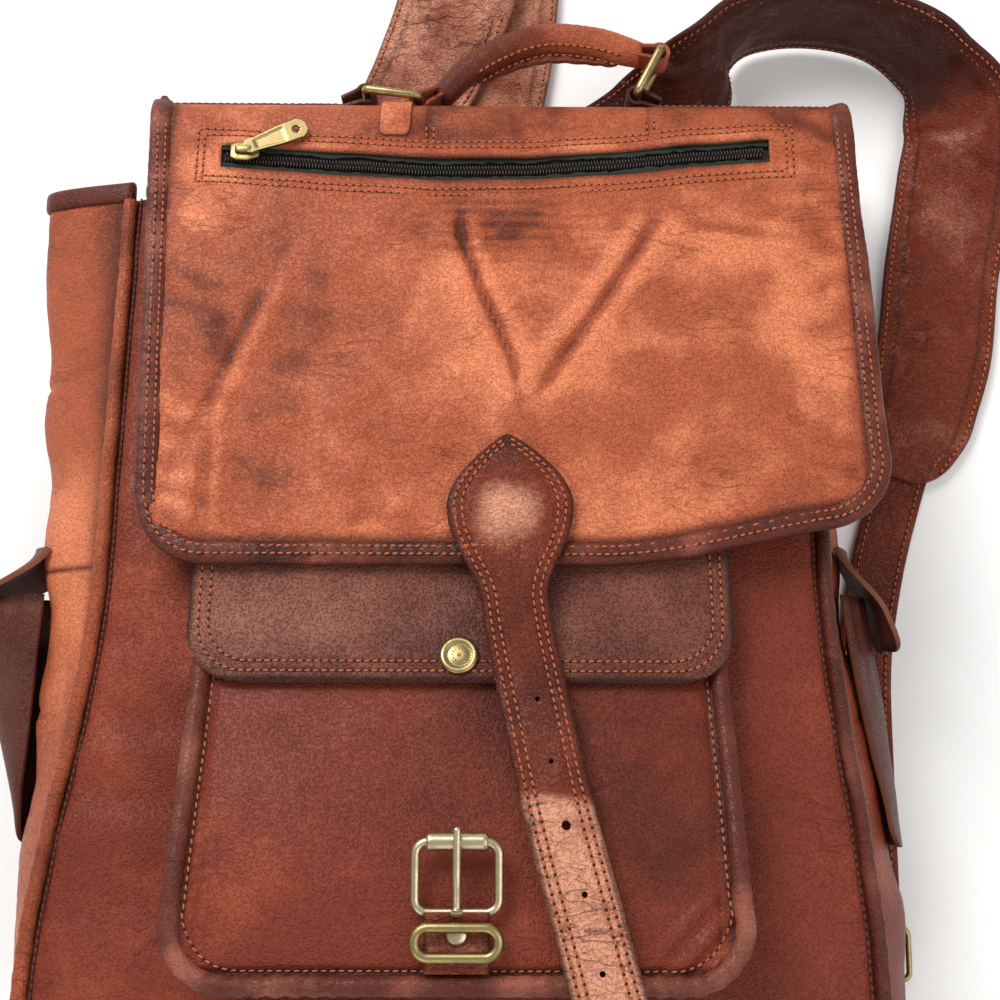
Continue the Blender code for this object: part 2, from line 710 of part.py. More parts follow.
def make_shoulder_straps():
    sheet("strap_anchor", lambda u, v: (between(-0.060, 0.066, u), between(*ANCHOR_Y, v),
                                        back_z(between(*ANCHOR_Y, v)) - 0.0006), 2, 3, 0.0020, red())
    right = [(0.036, 0.201, 0.0050), (0.065, 0.210, 0.0105), (0.090, 0.231, 0.0225), (0.104, 0.250, 0.0300),
             (0.124, 0.260, 0.0300), (0.149, 0.263, 0.0300), (0.178, 0.258, 0.0300), (0.204, 0.240, 0.0290),
             (0.218, 0.214, 0.0220), (0.217, 0.180, 0.0094), (0.211, 0.145, 0.0050), (0.206, 0.108, 0.0046),
             (0.198, 0.076, 0.0046), (0.187, 0.044, 0.0046)]
    band("right_shoulder_pad", right,
         (0.046, 0.052, 0.054, 0.054, 0.054, 0.054, 0.054, 0.055, 0.056, 0.056, 0.056, 0.056, 0.052, 0.036),
         (0, -12, -42, -76, -86, -86, -84, -76, -38, -9, 0, 0, 0, 0), PAD_THICK, red(), count=44)
    low_right = [(0.1835, 0.0335, 0.0040), (0.1740, 0.000, 0.0026), (0.1670, -0.041, 0.0026),
                 (NARROW_X, -0.090, 0.0026), (NARROW_X, -0.140, 0.0026), (NARROW_X, -0.182, 0.0026)]
    band("right_narrow_strap", low_right, (NARROW_WIDTH, NARROW_WIDTH), (0, 0), NARROW_THICK, red(), count=20)
    left = [(-0.008, 0.203, 0.0047), (-0.004, 0.228, 0.0047), (0.000, 0.262, 0.0047), (0.002, 0.300, 0.0055),
            (-0.001, 0.334, 0.0085), (-0.006, 0.347, 0.0155), (-0.012, 0.336, 0.0225), (-0.017, 0.310, 0.0215),
            (-0.021, 0.280, 0.0180), (-0.030, 0.252, 0.0150), (-0.041, 0.228, 0.0130), (-0.053, 0.205, 0.0105)]
    band("left_shoulder_pad", left,
         (0.048, 0.052, 0.055, 0.056, 0.056, 0.056, 0.056, 0.056, 0.056, 0.055, 0.052, 0.036),
         (0, 0), PAD_THICK, red(), count=48)
    low_left = [(-0.0600, 0.1975, 0.0040), (-0.084, 0.178, 0.0026), (-0.124, 0.155, 0.0026),
                (-0.155, 0.126, 0.0026), (-NARROW_X, 0.088, 0.0026), (-NARROW_X, 0.020, 0.0026),
                (-NARROW_X, -0.060, 0.0026), (-NARROW_X, -0.182, 0.0026)]
    band("left_narrow_strap", low_left, (NARROW_WIDTH, NARROW_WIDTH), (0, 0), NARROW_THICK, red(), count=30)
    for side, name in ((-1, "left"), (1, "right")):
        x = side * NARROW_X
        z = 0.0026 + NARROW_THICK / 2 + 0.0003 + 0.0013
        tube(f"{name}_strap_buckle", rectangle(x - 0.0143, x + 0.0143, -0.178, -0.156, z, 0.003), 0.0013,
             brass(), cyclic=True)
        tube(f"{name}_strap_tongue", [(x, -0.1740, z + 0.0002), (x, -0.164, z + 0.0022), (x, -0.1525, z + 0.0029)],
             0.0011, brass())


def main():
    make_body()
    make_lining()
    make_flap()
    make_strap()
    make_pocket()
    make_buckle()
    make_handle()
    make_side_pockets()
    make_shoulder_straps()


main()
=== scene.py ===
"""Visual model of a leather flap backpack that lies on its back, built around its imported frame.

Metres, +X to the right of the bag's front, +Y toward its handle and +Z out of its front.
"""

from __future__ import annotations

import logging
import math
from collections.abc import Callable, Sequence
from dataclasses import dataclass
from enum import Enum
from typing import ClassVar

import bmesh
import bpy
from mathutils import Matrix, Vector, noise

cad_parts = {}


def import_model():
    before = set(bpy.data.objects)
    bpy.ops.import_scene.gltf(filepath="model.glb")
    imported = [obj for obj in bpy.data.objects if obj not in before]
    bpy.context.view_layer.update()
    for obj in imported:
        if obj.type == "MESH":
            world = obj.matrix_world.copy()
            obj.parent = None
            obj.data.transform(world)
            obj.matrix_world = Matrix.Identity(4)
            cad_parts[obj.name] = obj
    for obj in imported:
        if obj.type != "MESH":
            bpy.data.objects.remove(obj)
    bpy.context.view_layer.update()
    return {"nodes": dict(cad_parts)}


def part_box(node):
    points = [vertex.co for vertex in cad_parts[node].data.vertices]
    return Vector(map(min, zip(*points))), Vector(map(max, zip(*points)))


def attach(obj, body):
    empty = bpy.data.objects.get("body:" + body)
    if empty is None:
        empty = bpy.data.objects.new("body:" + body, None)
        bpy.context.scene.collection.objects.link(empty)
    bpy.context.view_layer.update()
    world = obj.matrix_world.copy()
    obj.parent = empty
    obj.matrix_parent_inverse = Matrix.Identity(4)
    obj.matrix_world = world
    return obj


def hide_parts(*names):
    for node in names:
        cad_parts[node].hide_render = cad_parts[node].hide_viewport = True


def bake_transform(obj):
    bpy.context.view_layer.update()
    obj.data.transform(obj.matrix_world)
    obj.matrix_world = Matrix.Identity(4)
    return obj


LOG = logging.getLogger("backpack")
Colour = tuple[float, float, float]
Shape = Callable[[float, float], Vector]
Field = Callable[[Vector], float]
MM = 0.001


def vec3(x: float, y: float, z: float = 0) -> Vector:
    """A place or a direction."""
    return Vector((x, y, z))


class Body(Enum):
    """The rigid bodies that pieces ride on."""

    BAG = "bag"
    FLAP = "flap"
    CLOSING_STRAP = "closing_strap"
    POCKET_FLAP = "pocket_flap"
    SLIDER = "zip_slider"
    PULLER = "zip_puller"
    BUCKLE = "buckle_frame"
    TONGUE = "buckle_tongue"
    ROLLER = "buckle_roller"
    KEEPER = "keeper_ring"
    RING_LEFT = "ring_left"
    RING_RIGHT = "ring_right"
    HANDLE = "handle"
    LEFT_FLAP = "left_side_flap"
    RIGHT_FLAP = "right_side_flap"
    LEFT_PAD = "left_shoulder_strap"
    RIGHT_PAD = "right_shoulder_strap"
    LEFT_TONGUE = "left_strap_tongue"
    RIGHT_TONGUE = "right_strap_tongue"


# Small maths


def smooth(t: float) -> float:
    """Ease from 0 to 1."""
    t = min(1.0, max(0.0, t))
    return t * t * (3 - 2 * t)


def between(a: float, b: float, t: float) -> float:
    """The value a share t of the way from a to b."""
    return a + (b - a) * t


def bump(distance: float, width: float) -> float:
    """A smooth hump that is 1 at distance 0 and fades over the width."""
    return math.exp(-((distance / width) ** 2))


def grain(place: Vector, scale: float, seed: float = 0.0) -> float:
    """Smooth noise from about -1 to 1.

    Args:
        place: where to read it.
        scale: cycles per metre.
        seed: shifts the pattern.
    """
    return noise.noise(place * scale + vec3(seed, seed * 1.7, seed * 0.6))


def corner_inset(distance: float, radius: float) -> float:
    """How far a round corner draws a side in, at a distance from the end."""
    if distance >= radius:
        return 0.0
    return radius - math.sqrt(max(0.0, radius**2 - (radius - distance) ** 2))


def smooth_line(knots: Sequence[Vector], count: int) -> list[Vector]:
    """Catmull-Rom curve through the knots, as count places."""
    ends = [2 * knots[0] - knots[1], *knots, 2 * knots[-1] - knots[-2]]
    spans = len(knots) - 1
    line = []
    for i in range(count):
        at = i * spans / (count - 1)
        k = min(int(at), spans - 1)
        t = at - k
        a, b, c, d = ends[k : k + 4]
        curve = (2 * b) + (c - a) * t + (2 * a - 5 * b + 4 * c - d) * t**2 + (3 * b - a - 3 * c + d) * t**3
        line.append(0.5 * curve)
    return line


def resample(line: Sequence[Vector], pitch: float) -> list[Vector]:
    """Places at an even pitch along a polyline."""
    places, left = [], 0.0
    for a, b in zip(line, line[1:]):
        length = (b - a).length
        while left <= length and length > 0:
            places.append(a.lerp(b, left / length))
            left += pitch
        left -= length
    return places


def quarter(x: float, y: float, radius: float, start: float, steps: int, first: int = 1) -> list[Vector]:
    """Points of a quarter circle in plan.

    Args:
        x: centre along X.
        y: centre along Y.
        radius: its radius.
        start: angle in degrees where it starts.
        steps: points for the whole quarter.
        first: first point that is kept.

    Returns:
        The points, anticlockwise.
    """
    angles = [math.radians(start + 90 * k / steps) for k in range(first, steps + 1)]
    return [vec3(x + radius * math.cos(a), y + radius * math.sin(a), 0) for a in angles]


def rounded(width: float, height: float, radius: float, steps: int = 6) -> list[Vector]:
    """Points of a rectangle with round corners, anticlockwise, in its own plane."""
    x, y = width / 2 - radius, height / 2 - radius
    corners = ((x, y, 0), (-x, y, 90), (-x, -y, 180), (x, -y, 270))
    return [p for cx, cy, start in corners for p in quarter(cx, cy, radius, start, steps, 0)]


# Shader graph


class Wire:
    """A socket that takes part in Python expressions."""

    def __init__(self, graph: Graph, socket: bpy.types.NodeSocket) -> None:
        """Wraps a socket of a graph."""
        self.graph = graph
        self.socket = socket

    def maths(self, operation: str, *others: Wire | float, first: float | None = None) -> Wire:
        """One Math node on this value.

        Args:
            operation: the Math node's operation.
            others: the operands after this one.
            first: an operand that comes before this one.
        """
        operands = [self, *others] if first is None else [first, self, *others]
        node = self.graph.add("ShaderNodeMath", {"operation": operation}, dict(enumerate(operands)))
        return Wire(self.graph, node.outputs[0])

    def __add__(self, other: Wire | float) -> Wire:
        """Sum."""
        return self.maths("ADD", other)

    __radd__ = __add__

    def __sub__(self, other: Wire | float) -> Wire:
        """Difference."""
        return self.maths("SUBTRACT", other)

    def __rsub__(self, other: float) -> Wire:
        """Difference from a number."""
        return self.maths("SUBTRACT", first=other)

    def __mul__(self, other: Wire | float) -> Wire:
        """Product."""
        return self.maths("MULTIPLY", other)

    __rmul__ = __mul__

    def ramp(self, low: float, high: float) -> Wire:
        """0 below low, 1 above high and smooth between them."""
        settings = {"interpolation_type": "SMOOTHSTEP"}
        node = self.graph.add(
            "ShaderNodeMapRange", settings, {"Value": self, "From Min": low, "From Max": high}
        )
        return Wire(self.graph, node.outputs[0])


class Graph:
    """The node tree of one material, with a Principled shader at its end."""

    def __init__(self, name: str) -> None:
        """Starts a material."""
        self.material = bpy.data.materials.new(name)
        self.material.use_nodes = True
        self.tree = self.material.node_tree
        self.shader = self.tree.nodes["Principled BSDF"]

    def add(self, kind: str, settings: dict[str, object], sockets: dict[str | int, object]) -> bpy.types.Node:
        """Adds any node.

        Args:
            kind: the node's type.
            settings: its own properties, set first.
            sockets: values or wires of its inputs, by name or number.

        Returns:
            The node.
        """
        node = self.tree.nodes.new(kind)
        for key, value in settings.items():
            setattr(node, key, value)
        for key, value in sockets.items():
            self.feed(node.inputs[key], value)
        return node

    def feed(self, socket: bpy.types.NodeSocket, value: object) -> None:
        """Links a wire to a socket, or sets the socket's own value."""
        if isinstance(value, Wire):
            self.tree.links.new(value.socket, socket)
        elif isinstance(value, tuple) and socket.type == "RGBA":
            socket.default_value = (*value, 1.0)
        else:
            socket.default_value = value

    def place(self) -> Wire:
        """Object coordinates."""
        return Wire(self, self.add("ShaderNodeTexCoord", {}, {}).outputs["Object"])

    def attribute(self, name: str) -> Wire:
        """A value painted on the piece's points."""
        return Wire(self, self.add("ShaderNodeAttribute", {"attribute_name": name}, {}).outputs["Fac"])

    def noise(self, place: Wire, scale: float, detail: float = 3.0, rough: float = 0.55) -> Wire:
        """Fractal noise, about 0 to 1."""
        sockets = {"Vector": place, "Scale": scale, "Detail": detail, "Roughness": rough}
        return Wire(self, self.add("ShaderNodeTexNoise", {}, sockets).outputs["Fac"])

    def cells(self, place: Wire, scale: float) -> Wire:
        """Distance to the centres of cells."""
        sockets = {"Vector": place, "Scale": scale}
        return Wire(self, self.add("ShaderNodeTexVoronoi", {}, sockets).outputs["Distance"])

    def stretch(self, place: Wire, scale: Colour) -> Wire:
        """Coordinates scaled by a different share along each axis."""
        node = self.add("ShaderNodeVectorMath", {"operation": "MULTIPLY"}, {0: place, 1: scale})
        return Wire(self, node.outputs[0])

    def warp(self, place: Wire, scale: float, amount: float) -> Wire:
        """Coordinates pushed about by noise, so that cells lose their straight edges."""
        colour = self.add("ShaderNodeTexNoise", {}, {"Vector": place, "Scale": scale, "Detail": 2.0})
        push = self.add(
            "ShaderNodeVectorMath",
            {"operation": "SCALE"},
            {0: Wire(self, colour.outputs["Color"]), "Scale": amount},
        )
        moved = self.add(
            "ShaderNodeVectorMath", {"operation": "ADD"}, {0: place, 1: Wire(self, push.outputs[0])}
        )
        return Wire(self, moved.outputs[0])

    def mix(self, share: Wire | float, low: object, high: object) -> Wire:
        """A colour between two colours."""
        node = self.add("ShaderNodeMix", {"data_type": "RGBA"}, {0: share, 6: low, 7: high})
        return Wire(self, node.outputs[2])

    def relief(self, height: Wire, strength: float, distance: float) -> None:
        """Feeds a bump to the shader."""
        node = self.add("ShaderNodeBump", {}, {"Strength": strength, "Distance": distance, "Height": height})
        self.set(Normal=Wire(self, node.outputs[0]))

    def set(self, **sockets: object) -> None:
        """Sets or links the shader's sockets. Underscores stand for spaces."""
        for key, value in sockets.items():
            self.feed(self.shader.inputs[key.replace("_", " ")], value)


# Finishes


@dataclass(frozen=True)
class Leather:
    """Waxed hide, mottled by its oil and darker in patches.

    Painted pieces carry two values on their points: tone, from dark (0) to pale (1), which on some pieces
    also holds painted shade and painted highlights, and edge, which is 1 at a burnished rim or in a sewn
    groove and on the main flap also holds painted shade in its creases.
    """

    name: str
    pale: Colour
    middle: Colour
    dark: Colour
    burnish: Colour
    mottle: float = 0.55
    pebble: float = 1.0
    crackle: float = 0.6
    rough: float = 0.47
    painted: bool = True

    def make(self) -> bpy.types.Material:
        """Builds the material."""
        g = Graph(self.name)
        place = g.place()
        cloud = g.noise(place, 14.0, 5.0, 0.62)
        blotch = g.noise(g.warp(place, 60.0, 0.02), 48.0, 4.0, 0.6)
        speck = g.noise(place, 620.0, 3.0, 0.6)
        # On some pieces the tone attribute also holds painted shade and painted highlights.
        tone = g.attribute("tone") if self.painted else cloud * 0.0 + 0.5
        level = tone + (cloud - 0.5) * self.mottle * 1.5 + (blotch - 0.5) * self.mottle * 0.8
        level = level + (speck - 0.5) * 0.16
        colour = g.mix(level.ramp(0.0, 0.5), self.dark, self.middle)
        colour = g.mix(level.ramp(0.5, 1.0), colour, self.pale)
        where = g.noise(place, 24.0, 3.0).ramp(0.44, 0.66)
        vein = self.veins(g, g.stretch(place, (0.55, 1.7, 1.0)), 95.0, 0.03)
        fine = self.veins(g, g.stretch(place, (0.8, 1.25, 1.0)), 330.0, 0.055)
        crack_depth = (vein * where + fine * 0.55) * self.crackle
        colour = g.mix(crack_depth * 0.42, colour, self.dark)
        pores = g.cells(g.warp(place, 500.0, 0.0008), 1050.0).ramp(0.0, 0.6)
        colour = g.mix((1.0 - pores) * 0.34 * self.pebble, colour, self.dark)
        if self.painted:
            # The edge value is burnish, and on the main flap also painted shade in the creases.
            edge_burnish_and_crease_shade = g.attribute("edge") * (0.75 + 0.5 * blotch)
            colour = g.mix(edge_burnish_and_crease_shade.ramp(0.05, 0.95), colour, self.burnish)
        scuff = g.noise(g.warp(place, 220.0, 0.01), 95.0, 6.0, 0.7).ramp(0.58, 0.74)
        colour = g.mix(scuff * 0.22, colour, self.pale)
        gloss = self.rough + (cloud - 0.5) * 0.26 + (speck - 0.5) * 0.14 + crack_depth * 0.12
        g.set(Base_Color=colour, Roughness=gloss, Coat_Weight=0.09 * blotch)
        g.set(Coat_Roughness=0.28, Specular_IOR_Level=0.2)
        height = pores * (0.5 * self.pebble) - crack_depth * 0.55 + speck * 0.2 + blotch * 0.9
        g.relief(height, 0.75, 0.0009)
        return g.material

    def veins(self, g: Graph, place: Wire, scale: float, width: float) -> Wire:
        """Thin winding creases, where smooth noise crosses its middle."""
        return 1.0 - (g.noise(place, scale, 2.0, 0.5) - 0.5).maths("ABSOLUTE").ramp(0.0, width)


@dataclass(frozen=True)
class Brass:
    """Old brass: dark in the hollows and rubbed bright."""

    name: str
    bright: Colour
    patina: Colour
    rough: float = 0.3

    def make(self) -> bpy.types.Material:
        """Builds the material."""
        g = Graph(self.name)
        place = g.place()
        cloud = g.noise(place, 140.0, 4.0, 0.6)
        spot = g.noise(place, 1500.0, 3.0, 0.6)
        tarnish = (cloud * 0.8 + spot * 0.3).ramp(0.35, 0.95)
        colour = g.mix(tarnish, self.bright, self.patina)
        g.set(Base_Color=colour, Metallic=1.0, Roughness=self.rough + tarnish * 0.26 + (spot - 0.5) * 0.1)
        g.relief(cloud * 0.4 + spot * 0.4, 0.12, 0.0003)
        return g.material


@dataclass(frozen=True)
class Woven:
    """Plain-weave cloth or cord, with the yarns in its bump and colour."""

    name: str
    yarn: Colour
    gap: Colour
    pitch: float = 0.0009
    rough: float = 0.9

    def make(self) -> bpy.types.Material:
        """Builds the material."""
        g = Graph(self.name)
        place = g.place()
        warp = self.wave(g, place, "X")
        weft = self.wave(g, place, "Y")
        fuzz = g.noise(place, 900.0, 4.0, 0.7)
        over = (warp * weft).ramp(0.05, 0.75)
        colour = g.mix(over * (0.55 + 0.45 * fuzz), self.gap, self.yarn)
        g.set(Base_Color=colour, Roughness=self.rough + (fuzz - 0.5) * 0.1)
        g.relief(over + fuzz * 0.4, 0.55, 0.0004)
        return g.material

    def wave(self, g: Graph, place: Wire, direction: str) -> Wire:
        """Ridges across one direction."""
        settings = {"wave_type": "BANDS", "bands_direction": direction}
        sockets = {"Vector": place, "Scale": 0.314 / self.pitch, "Distortion": 0.6, "Detail": 1.0}
        return Wire(g, g.add("ShaderNodeTexWave", settings, sockets).outputs["Fac"])


@dataclass(frozen=True)
class Plain:
    """A moulded, foamed or pressed stuff with a fine speckle."""

    name: str
    colour: Colour
    shade: Colour
    rough: float = 0.6
    scale: float = 900.0
    depth: float = 0.3

    def make(self) -> bpy.types.Material:
        """Builds the material."""
        g = Graph(self.name)
        place = g.place()
        speck = g.noise(place, self.scale, 4.0, 0.65)
        cloud = g.noise(place, self.scale * 0.08, 3.0)
        colour = g.mix((speck * 0.7 + cloud * 0.4).ramp(0.3, 0.8), self.shade, self.colour)
        g.set(Base_Color=colour, Roughness=self.rough + (speck - 0.5) * 0.16)
        g.relief(speck, self.depth, 0.0004)
        return g.material


class Finish(Enum):
    """Every finish on the bag."""

    TAN = Leather("tan_hide", (0.72, 0.215, 0.096), (0.4, 0.09, 0.036), (0.12, 0.022, 0.009),
                  (0.066, 0.011, 0.005), mottle=0.55, crackle=0.95)
    RED = Leather("red_hide", (0.4, 0.08, 0.034), (0.185, 0.029, 0.013), (0.062, 0.01, 0.005),
                  (0.038, 0.007, 0.004), mottle=0.6)
    # Its pale colour is also the painted sheen on the leaf and low on the closing strap.
    STRAP = Leather("strap_hide", (0.66, 0.29, 0.18), (0.175, 0.026, 0.009), (0.056, 0.009, 0.004),
                    (0.042, 0.008, 0.003), mottle=0.45, crackle=1.2, rough=0.38)
    DARK = Leather("dark_hide", (0.26, 0.088, 0.056), (0.105, 0.028, 0.018), (0.038, 0.01, 0.007),
                   (0.03, 0.007, 0.005), mottle=0.5, pebble=1.5, crackle=0.35)
    BINDING = Leather("binding_hide", (0.36, 0.11, 0.07), (0.11, 0.022, 0.012), (0.036, 0.008, 0.005),
                      (0.028, 0.006, 0.004), mottle=0.65, pebble=0.6, rough=0.34)
    SUEDE = Leather("flesh_side", (0.36, 0.15, 0.08), (0.19, 0.065, 0.034), (0.08, 0.026, 0.013),
                    (0.1, 0.04, 0.02), pebble=0.3, crackle=0.1, rough=0.85)
    PLAIN_RED = Leather("plain_red_hide", (0.4, 0.08, 0.034), (0.185, 0.029, 0.013), (0.062, 0.01, 0.005),
                        (0.038, 0.007, 0.004), mottle=0.6, painted=False)
    BRASS = Brass("antique_brass", (0.43, 0.33, 0.15), (0.17, 0.12, 0.048))
    PALE_BRASS = Brass("worn_brass", (0.66, 0.57, 0.38), (0.36, 0.28, 0.15), 0.24)
    CANVAS = Woven("green_canvas", (0.03, 0.052, 0.036), (0.008, 0.014, 0.01))
    TAPE = Woven("zip_tape", (0.05, 0.022, 0.014), (0.012, 0.006, 0.004), 0.0006)
    THREAD = Plain("orange_thread", (0.62, 0.15, 0.045), (0.3, 0.062, 0.02), 0.62, 3000.0, 0.6)
    # Painted shade in the needle holes between stitches.
    HOLE_SHADE = Plain("needle_hole_shade", (0.02, 0.006, 0.004), (0.008, 0.003, 0.002), 0.9, 2000.0, 0.2)
    DARK_THREAD = Plain("brown_thread", (0.16, 0.036, 0.016), (0.05, 0.012, 0.006), 0.6, 3000.0, 0.6)
    COIL = Plain("nylon_coil", (0.03, 0.018, 0.014), (0.012, 0.008, 0.006), 0.3, 2500.0, 0.2)
    FOAM = Plain("foam", (0.3, 0.28, 0.25), (0.16, 0.15, 0.13), 0.95, 700.0, 0.8)
    BOARD = Plain("pressed_board", (0.22, 0.16, 0.1), (0.09, 0.06, 0.04), 0.85, 500.0, 0.5)


class FinishStore:
    """Makes each material once."""

    made: dict[Finish, bpy.types.Material] = {}

    @classmethod
    def get(cls, finish: Finish) -> bpy.types.Material:
        """The material of a finish."""
        if finish not in cls.made:
            cls.made[finish] = finish.value.make()
        return cls.made[finish]


SLOTS = {
    finish: slot
    for slot, finishes in (
        ("tan_leather", (Finish.TAN, Finish.SUEDE)),
        ("red_leather", (Finish.RED, Finish.STRAP, Finish.PLAIN_RED)),
        ("dark_leather", (Finish.DARK, Finish.BINDING)),
        ("antique_brass", (Finish.BRASS, Finish.PALE_BRASS)),
        ("canvas", (Finish.CANVAS, Finish.TAPE)),
        ("cord", (Finish.THREAD, Finish.HOLE_SHADE, Finish.DARK_THREAD)),
        ("zip_coil", (Finish.COIL,)),
        ("foam", (Finish.FOAM,)),
        ("board", (Finish.BOARD,)),
    )
    for finish in finishes
}


# Making pieces


class Maker:
    """The bench: makes meshes from a few shapes, dresses them and puts them on their bodies."""

    @staticmethod
    def from_bmesh(name: str, work: bmesh.types.BMesh, finish: Finish) -> bpy.types.Object:
        """Turns a bmesh into a smooth-shaded object with a finish."""
        mesh = bpy.data.meshes.new(name)
        work.to_mesh(mesh)
        work.free()
        mesh.shade_smooth()
        obj = bpy.data.objects.new(name, mesh)
        bpy.context.scene.collection.objects.link(obj)
        mesh.materials.append(FinishStore.get(finish))
        return obj

    @staticmethod
    def grid(shape: Shape, across: int, along: int) -> bmesh.types.BMesh:
        """A grid whose points a shape places from shares across and along."""
        work = bmesh.new()
        bmesh.ops.create_grid(work, x_segments=across, y_segments=along, size=0.5)
        for vert in work.verts:
            vert.co = shape(vert.co.x + 0.5, vert.co.y + 0.5)
        return work

    @staticmethod
    def turn_faces(work: bmesh.types.BMesh, toward: Vector) -> None:
        """Turns the faces of an open sheet toward a direction."""
        bmesh.ops.recalc_face_normals(work, faces=work.faces)
        if sum(f.normal.dot(toward) for f in work.faces) < 0:
            bmesh.ops.reverse_faces(work, faces=work.faces)

    @classmethod
    def sheet(
        cls, name: str, shape: Shape, across: int, along: int, finish: Finish, thick: float,
        offset: float = -1.0, rim: Finish | None = None, soften: float = 0.0005,
    ) -> bpy.types.Object:
        """A piece of leather or cloth with a thickness and softened edges.

        Args:
            name: the piece's name.
            shape: places a point from shares across and along.
            across: faces across.
            along: faces along.
            finish: its finish.
            thick: thickness in metres.
            offset: -1 grows the thickness behind the face, and 1 in front.
            rim: the finish of its cut edge.
            soften: radius of its edges.

        Returns:
            The object.
        """
        obj = cls.from_bmesh(name, cls.grid(shape, across, along), finish)
        cls.thicken(obj, thick, offset, rim, soften)
        return obj

    @staticmethod
    def thicken(
        obj: bpy.types.Object, thick: float, offset: float, rim: Finish | None = None, soften: float = 0.0
    ) -> None:
        """Gives an open sheet a thickness and rounds its cut edge."""
        shell = obj.modifiers.new("thickness", "SOLIDIFY")
        shell.thickness = thick
        shell.offset = offset
        if rim:
            obj.data.materials.append(FinishStore.get(rim))
            shell.material_offset_rim = 1
        if soften:
            edge = obj.modifiers.new("cut_edge", "BEVEL")
            edge.width = soften
            edge.segments = 2
            edge.limit_method = "ANGLE"
            edge.angle_limit = math.radians(50)

    @staticmethod
    def apply(obj: bpy.types.Object) -> None:
        """Makes an object's modifiers final."""
        graph = bpy.context.evaluated_depsgraph_get()
        mesh = bpy.data.meshes.new_from_object(obj.evaluated_get(graph))
        obj.modifiers.clear()
        obj.data = mesh
        mesh.shade_smooth()

    @staticmethod
    def paint(obj: bpy.types.Object, tone: Field | float, edge: Field | float = 0.0) -> None:
        """Stores the tone and edge values that leather reads."""
        for name, value in (("tone", tone), ("edge", edge)):
            layer = obj.data.attributes.new(name, "FLOAT", "POINT")
            for vert, item in zip(obj.data.vertices, layer.data):
                item.value = value(vert.co) if callable(value) else value

    @staticmethod
    def turns(line: Sequence[Vector], up: Vector, closed: bool = False) -> list[tuple[Vector, Vector]]:
        """Side and up directions at each point of a line."""
        found = []
        last = len(line) - 1
        for i, _ in enumerate(line):
            if closed:
                ahead = line[(i + 1) % len(line)] - line[i - 1]
            else:
                ahead = line[min(i + 1, last)] - line[max(i - 1, 0)]
            ahead.normalize()
            side = ahead.cross(up)
            if side.length < 0.25 and found:
                side = found[-1][0]
            side = (side - ahead * side.dot(ahead)).normalized()
            if found and side.dot(found[-1][0]) < 0 and side.length and not closed:
                side = -side
            found.append((side, side.cross(ahead).normalized()))
        return found

    @classmethod
    def tube(
        cls, name: str, line: Sequence[Vector], section: Callable[[float, float], tuple[float, float]],
        finish: Finish, around: int = 16, closed: bool = False, up: Vector = vec3(0, 0, 1),
    ) -> bpy.types.Object:
        """A closed tube along a line.

        Args:
            name: the piece's name.
            line: its centre.
            section: gives the offsets (to the side, up) for a share along and an angle.
            finish: its finish.
            around: faces round it.
            closed: whether the line is a loop.
            up: the direction that its section's second offset leans to.

        Returns:
            The object.
        """
        places = list(line)
        frames = cls.turns(places, up, closed)
        if closed:
            places.append(places[0])
            frames.append(frames[0])
        last = len(places) - 1

        def shape(u: float, v: float) -> Vector:
            """A point of the tube's skin."""
            i = round(v * last)
            across, high = section(v, 2 * math.pi * u)
            return places[i] + frames[i][0] * across + frames[i][1] * high

        work = cls.grid(shape, around, last)
        bmesh.ops.remove_doubles(work, verts=work.verts, dist=1e-6)
        if not closed:
            bmesh.ops.holes_fill(work, edges=[e for e in work.edges if e.is_boundary])
        bmesh.ops.recalc_face_normals(work, faces=work.faces)
        return cls.from_bmesh(name, work, finish)

    @staticmethod
    def round_section(radius: float) -> Callable[[float, float], tuple[float, float]]:
        """A circular section."""
        return lambda v, a: (radius * math.cos(a), radius * math.sin(a))

    @staticmethod
    def flat_section(
        half: float, high: float, power: float = 0.55
    ) -> Callable[[float, float], tuple[float, float]]:
        """A flattened section with round corners."""

        def section(v: float, a: float) -> tuple[float, float]:
            """Offsets at an angle."""
            c, s = math.cos(a), math.sin(a)
            return math.copysign(abs(c) ** power, c) * half, math.copysign(abs(s) ** power, s) * high

        return section

    @classmethod
    def stitches(
        cls, name: str, rows: Sequence[Sequence[tuple[Vector, Vector]]], finish: Finish = Finish.THREAD,
        length: float = 0.0024, radius: float = 0.00042,
    ) -> bpy.types.Object:
        """Thread laid along rows of places, each with its surface's normal.

        Args:
            name: the piece's name.
            rows: each row's places and normals, one for each stitch.
            finish: the thread.
            length: length of one stitch.
            radius: radius of the thread.

        Returns:
            One object that holds every stitch.
        """
        spots, hole_shades = [], []
        for row in rows:
            for i, (place, normal) in enumerate(row):
                other = row[i + 1][0] if i + 1 < len(row) else 2 * place - row[i - 1][0]
                ahead = other - place
                ahead = (ahead - normal * ahead.dot(normal)).normalized()
                ahead = (ahead + normal.cross(ahead) * 0.13).normalized()
                turn = Matrix((ahead, normal.cross(ahead), normal)).transposed().to_4x4()
                size = Matrix.Diagonal((length / 2, radius * 1.15, radius, 1))
                lift = Matrix.Translation(place + normal * radius * 0.45)
                spots.append(lift @ turn @ size @ Matrix.Rotation(math.pi / 2, 4, "Y"))
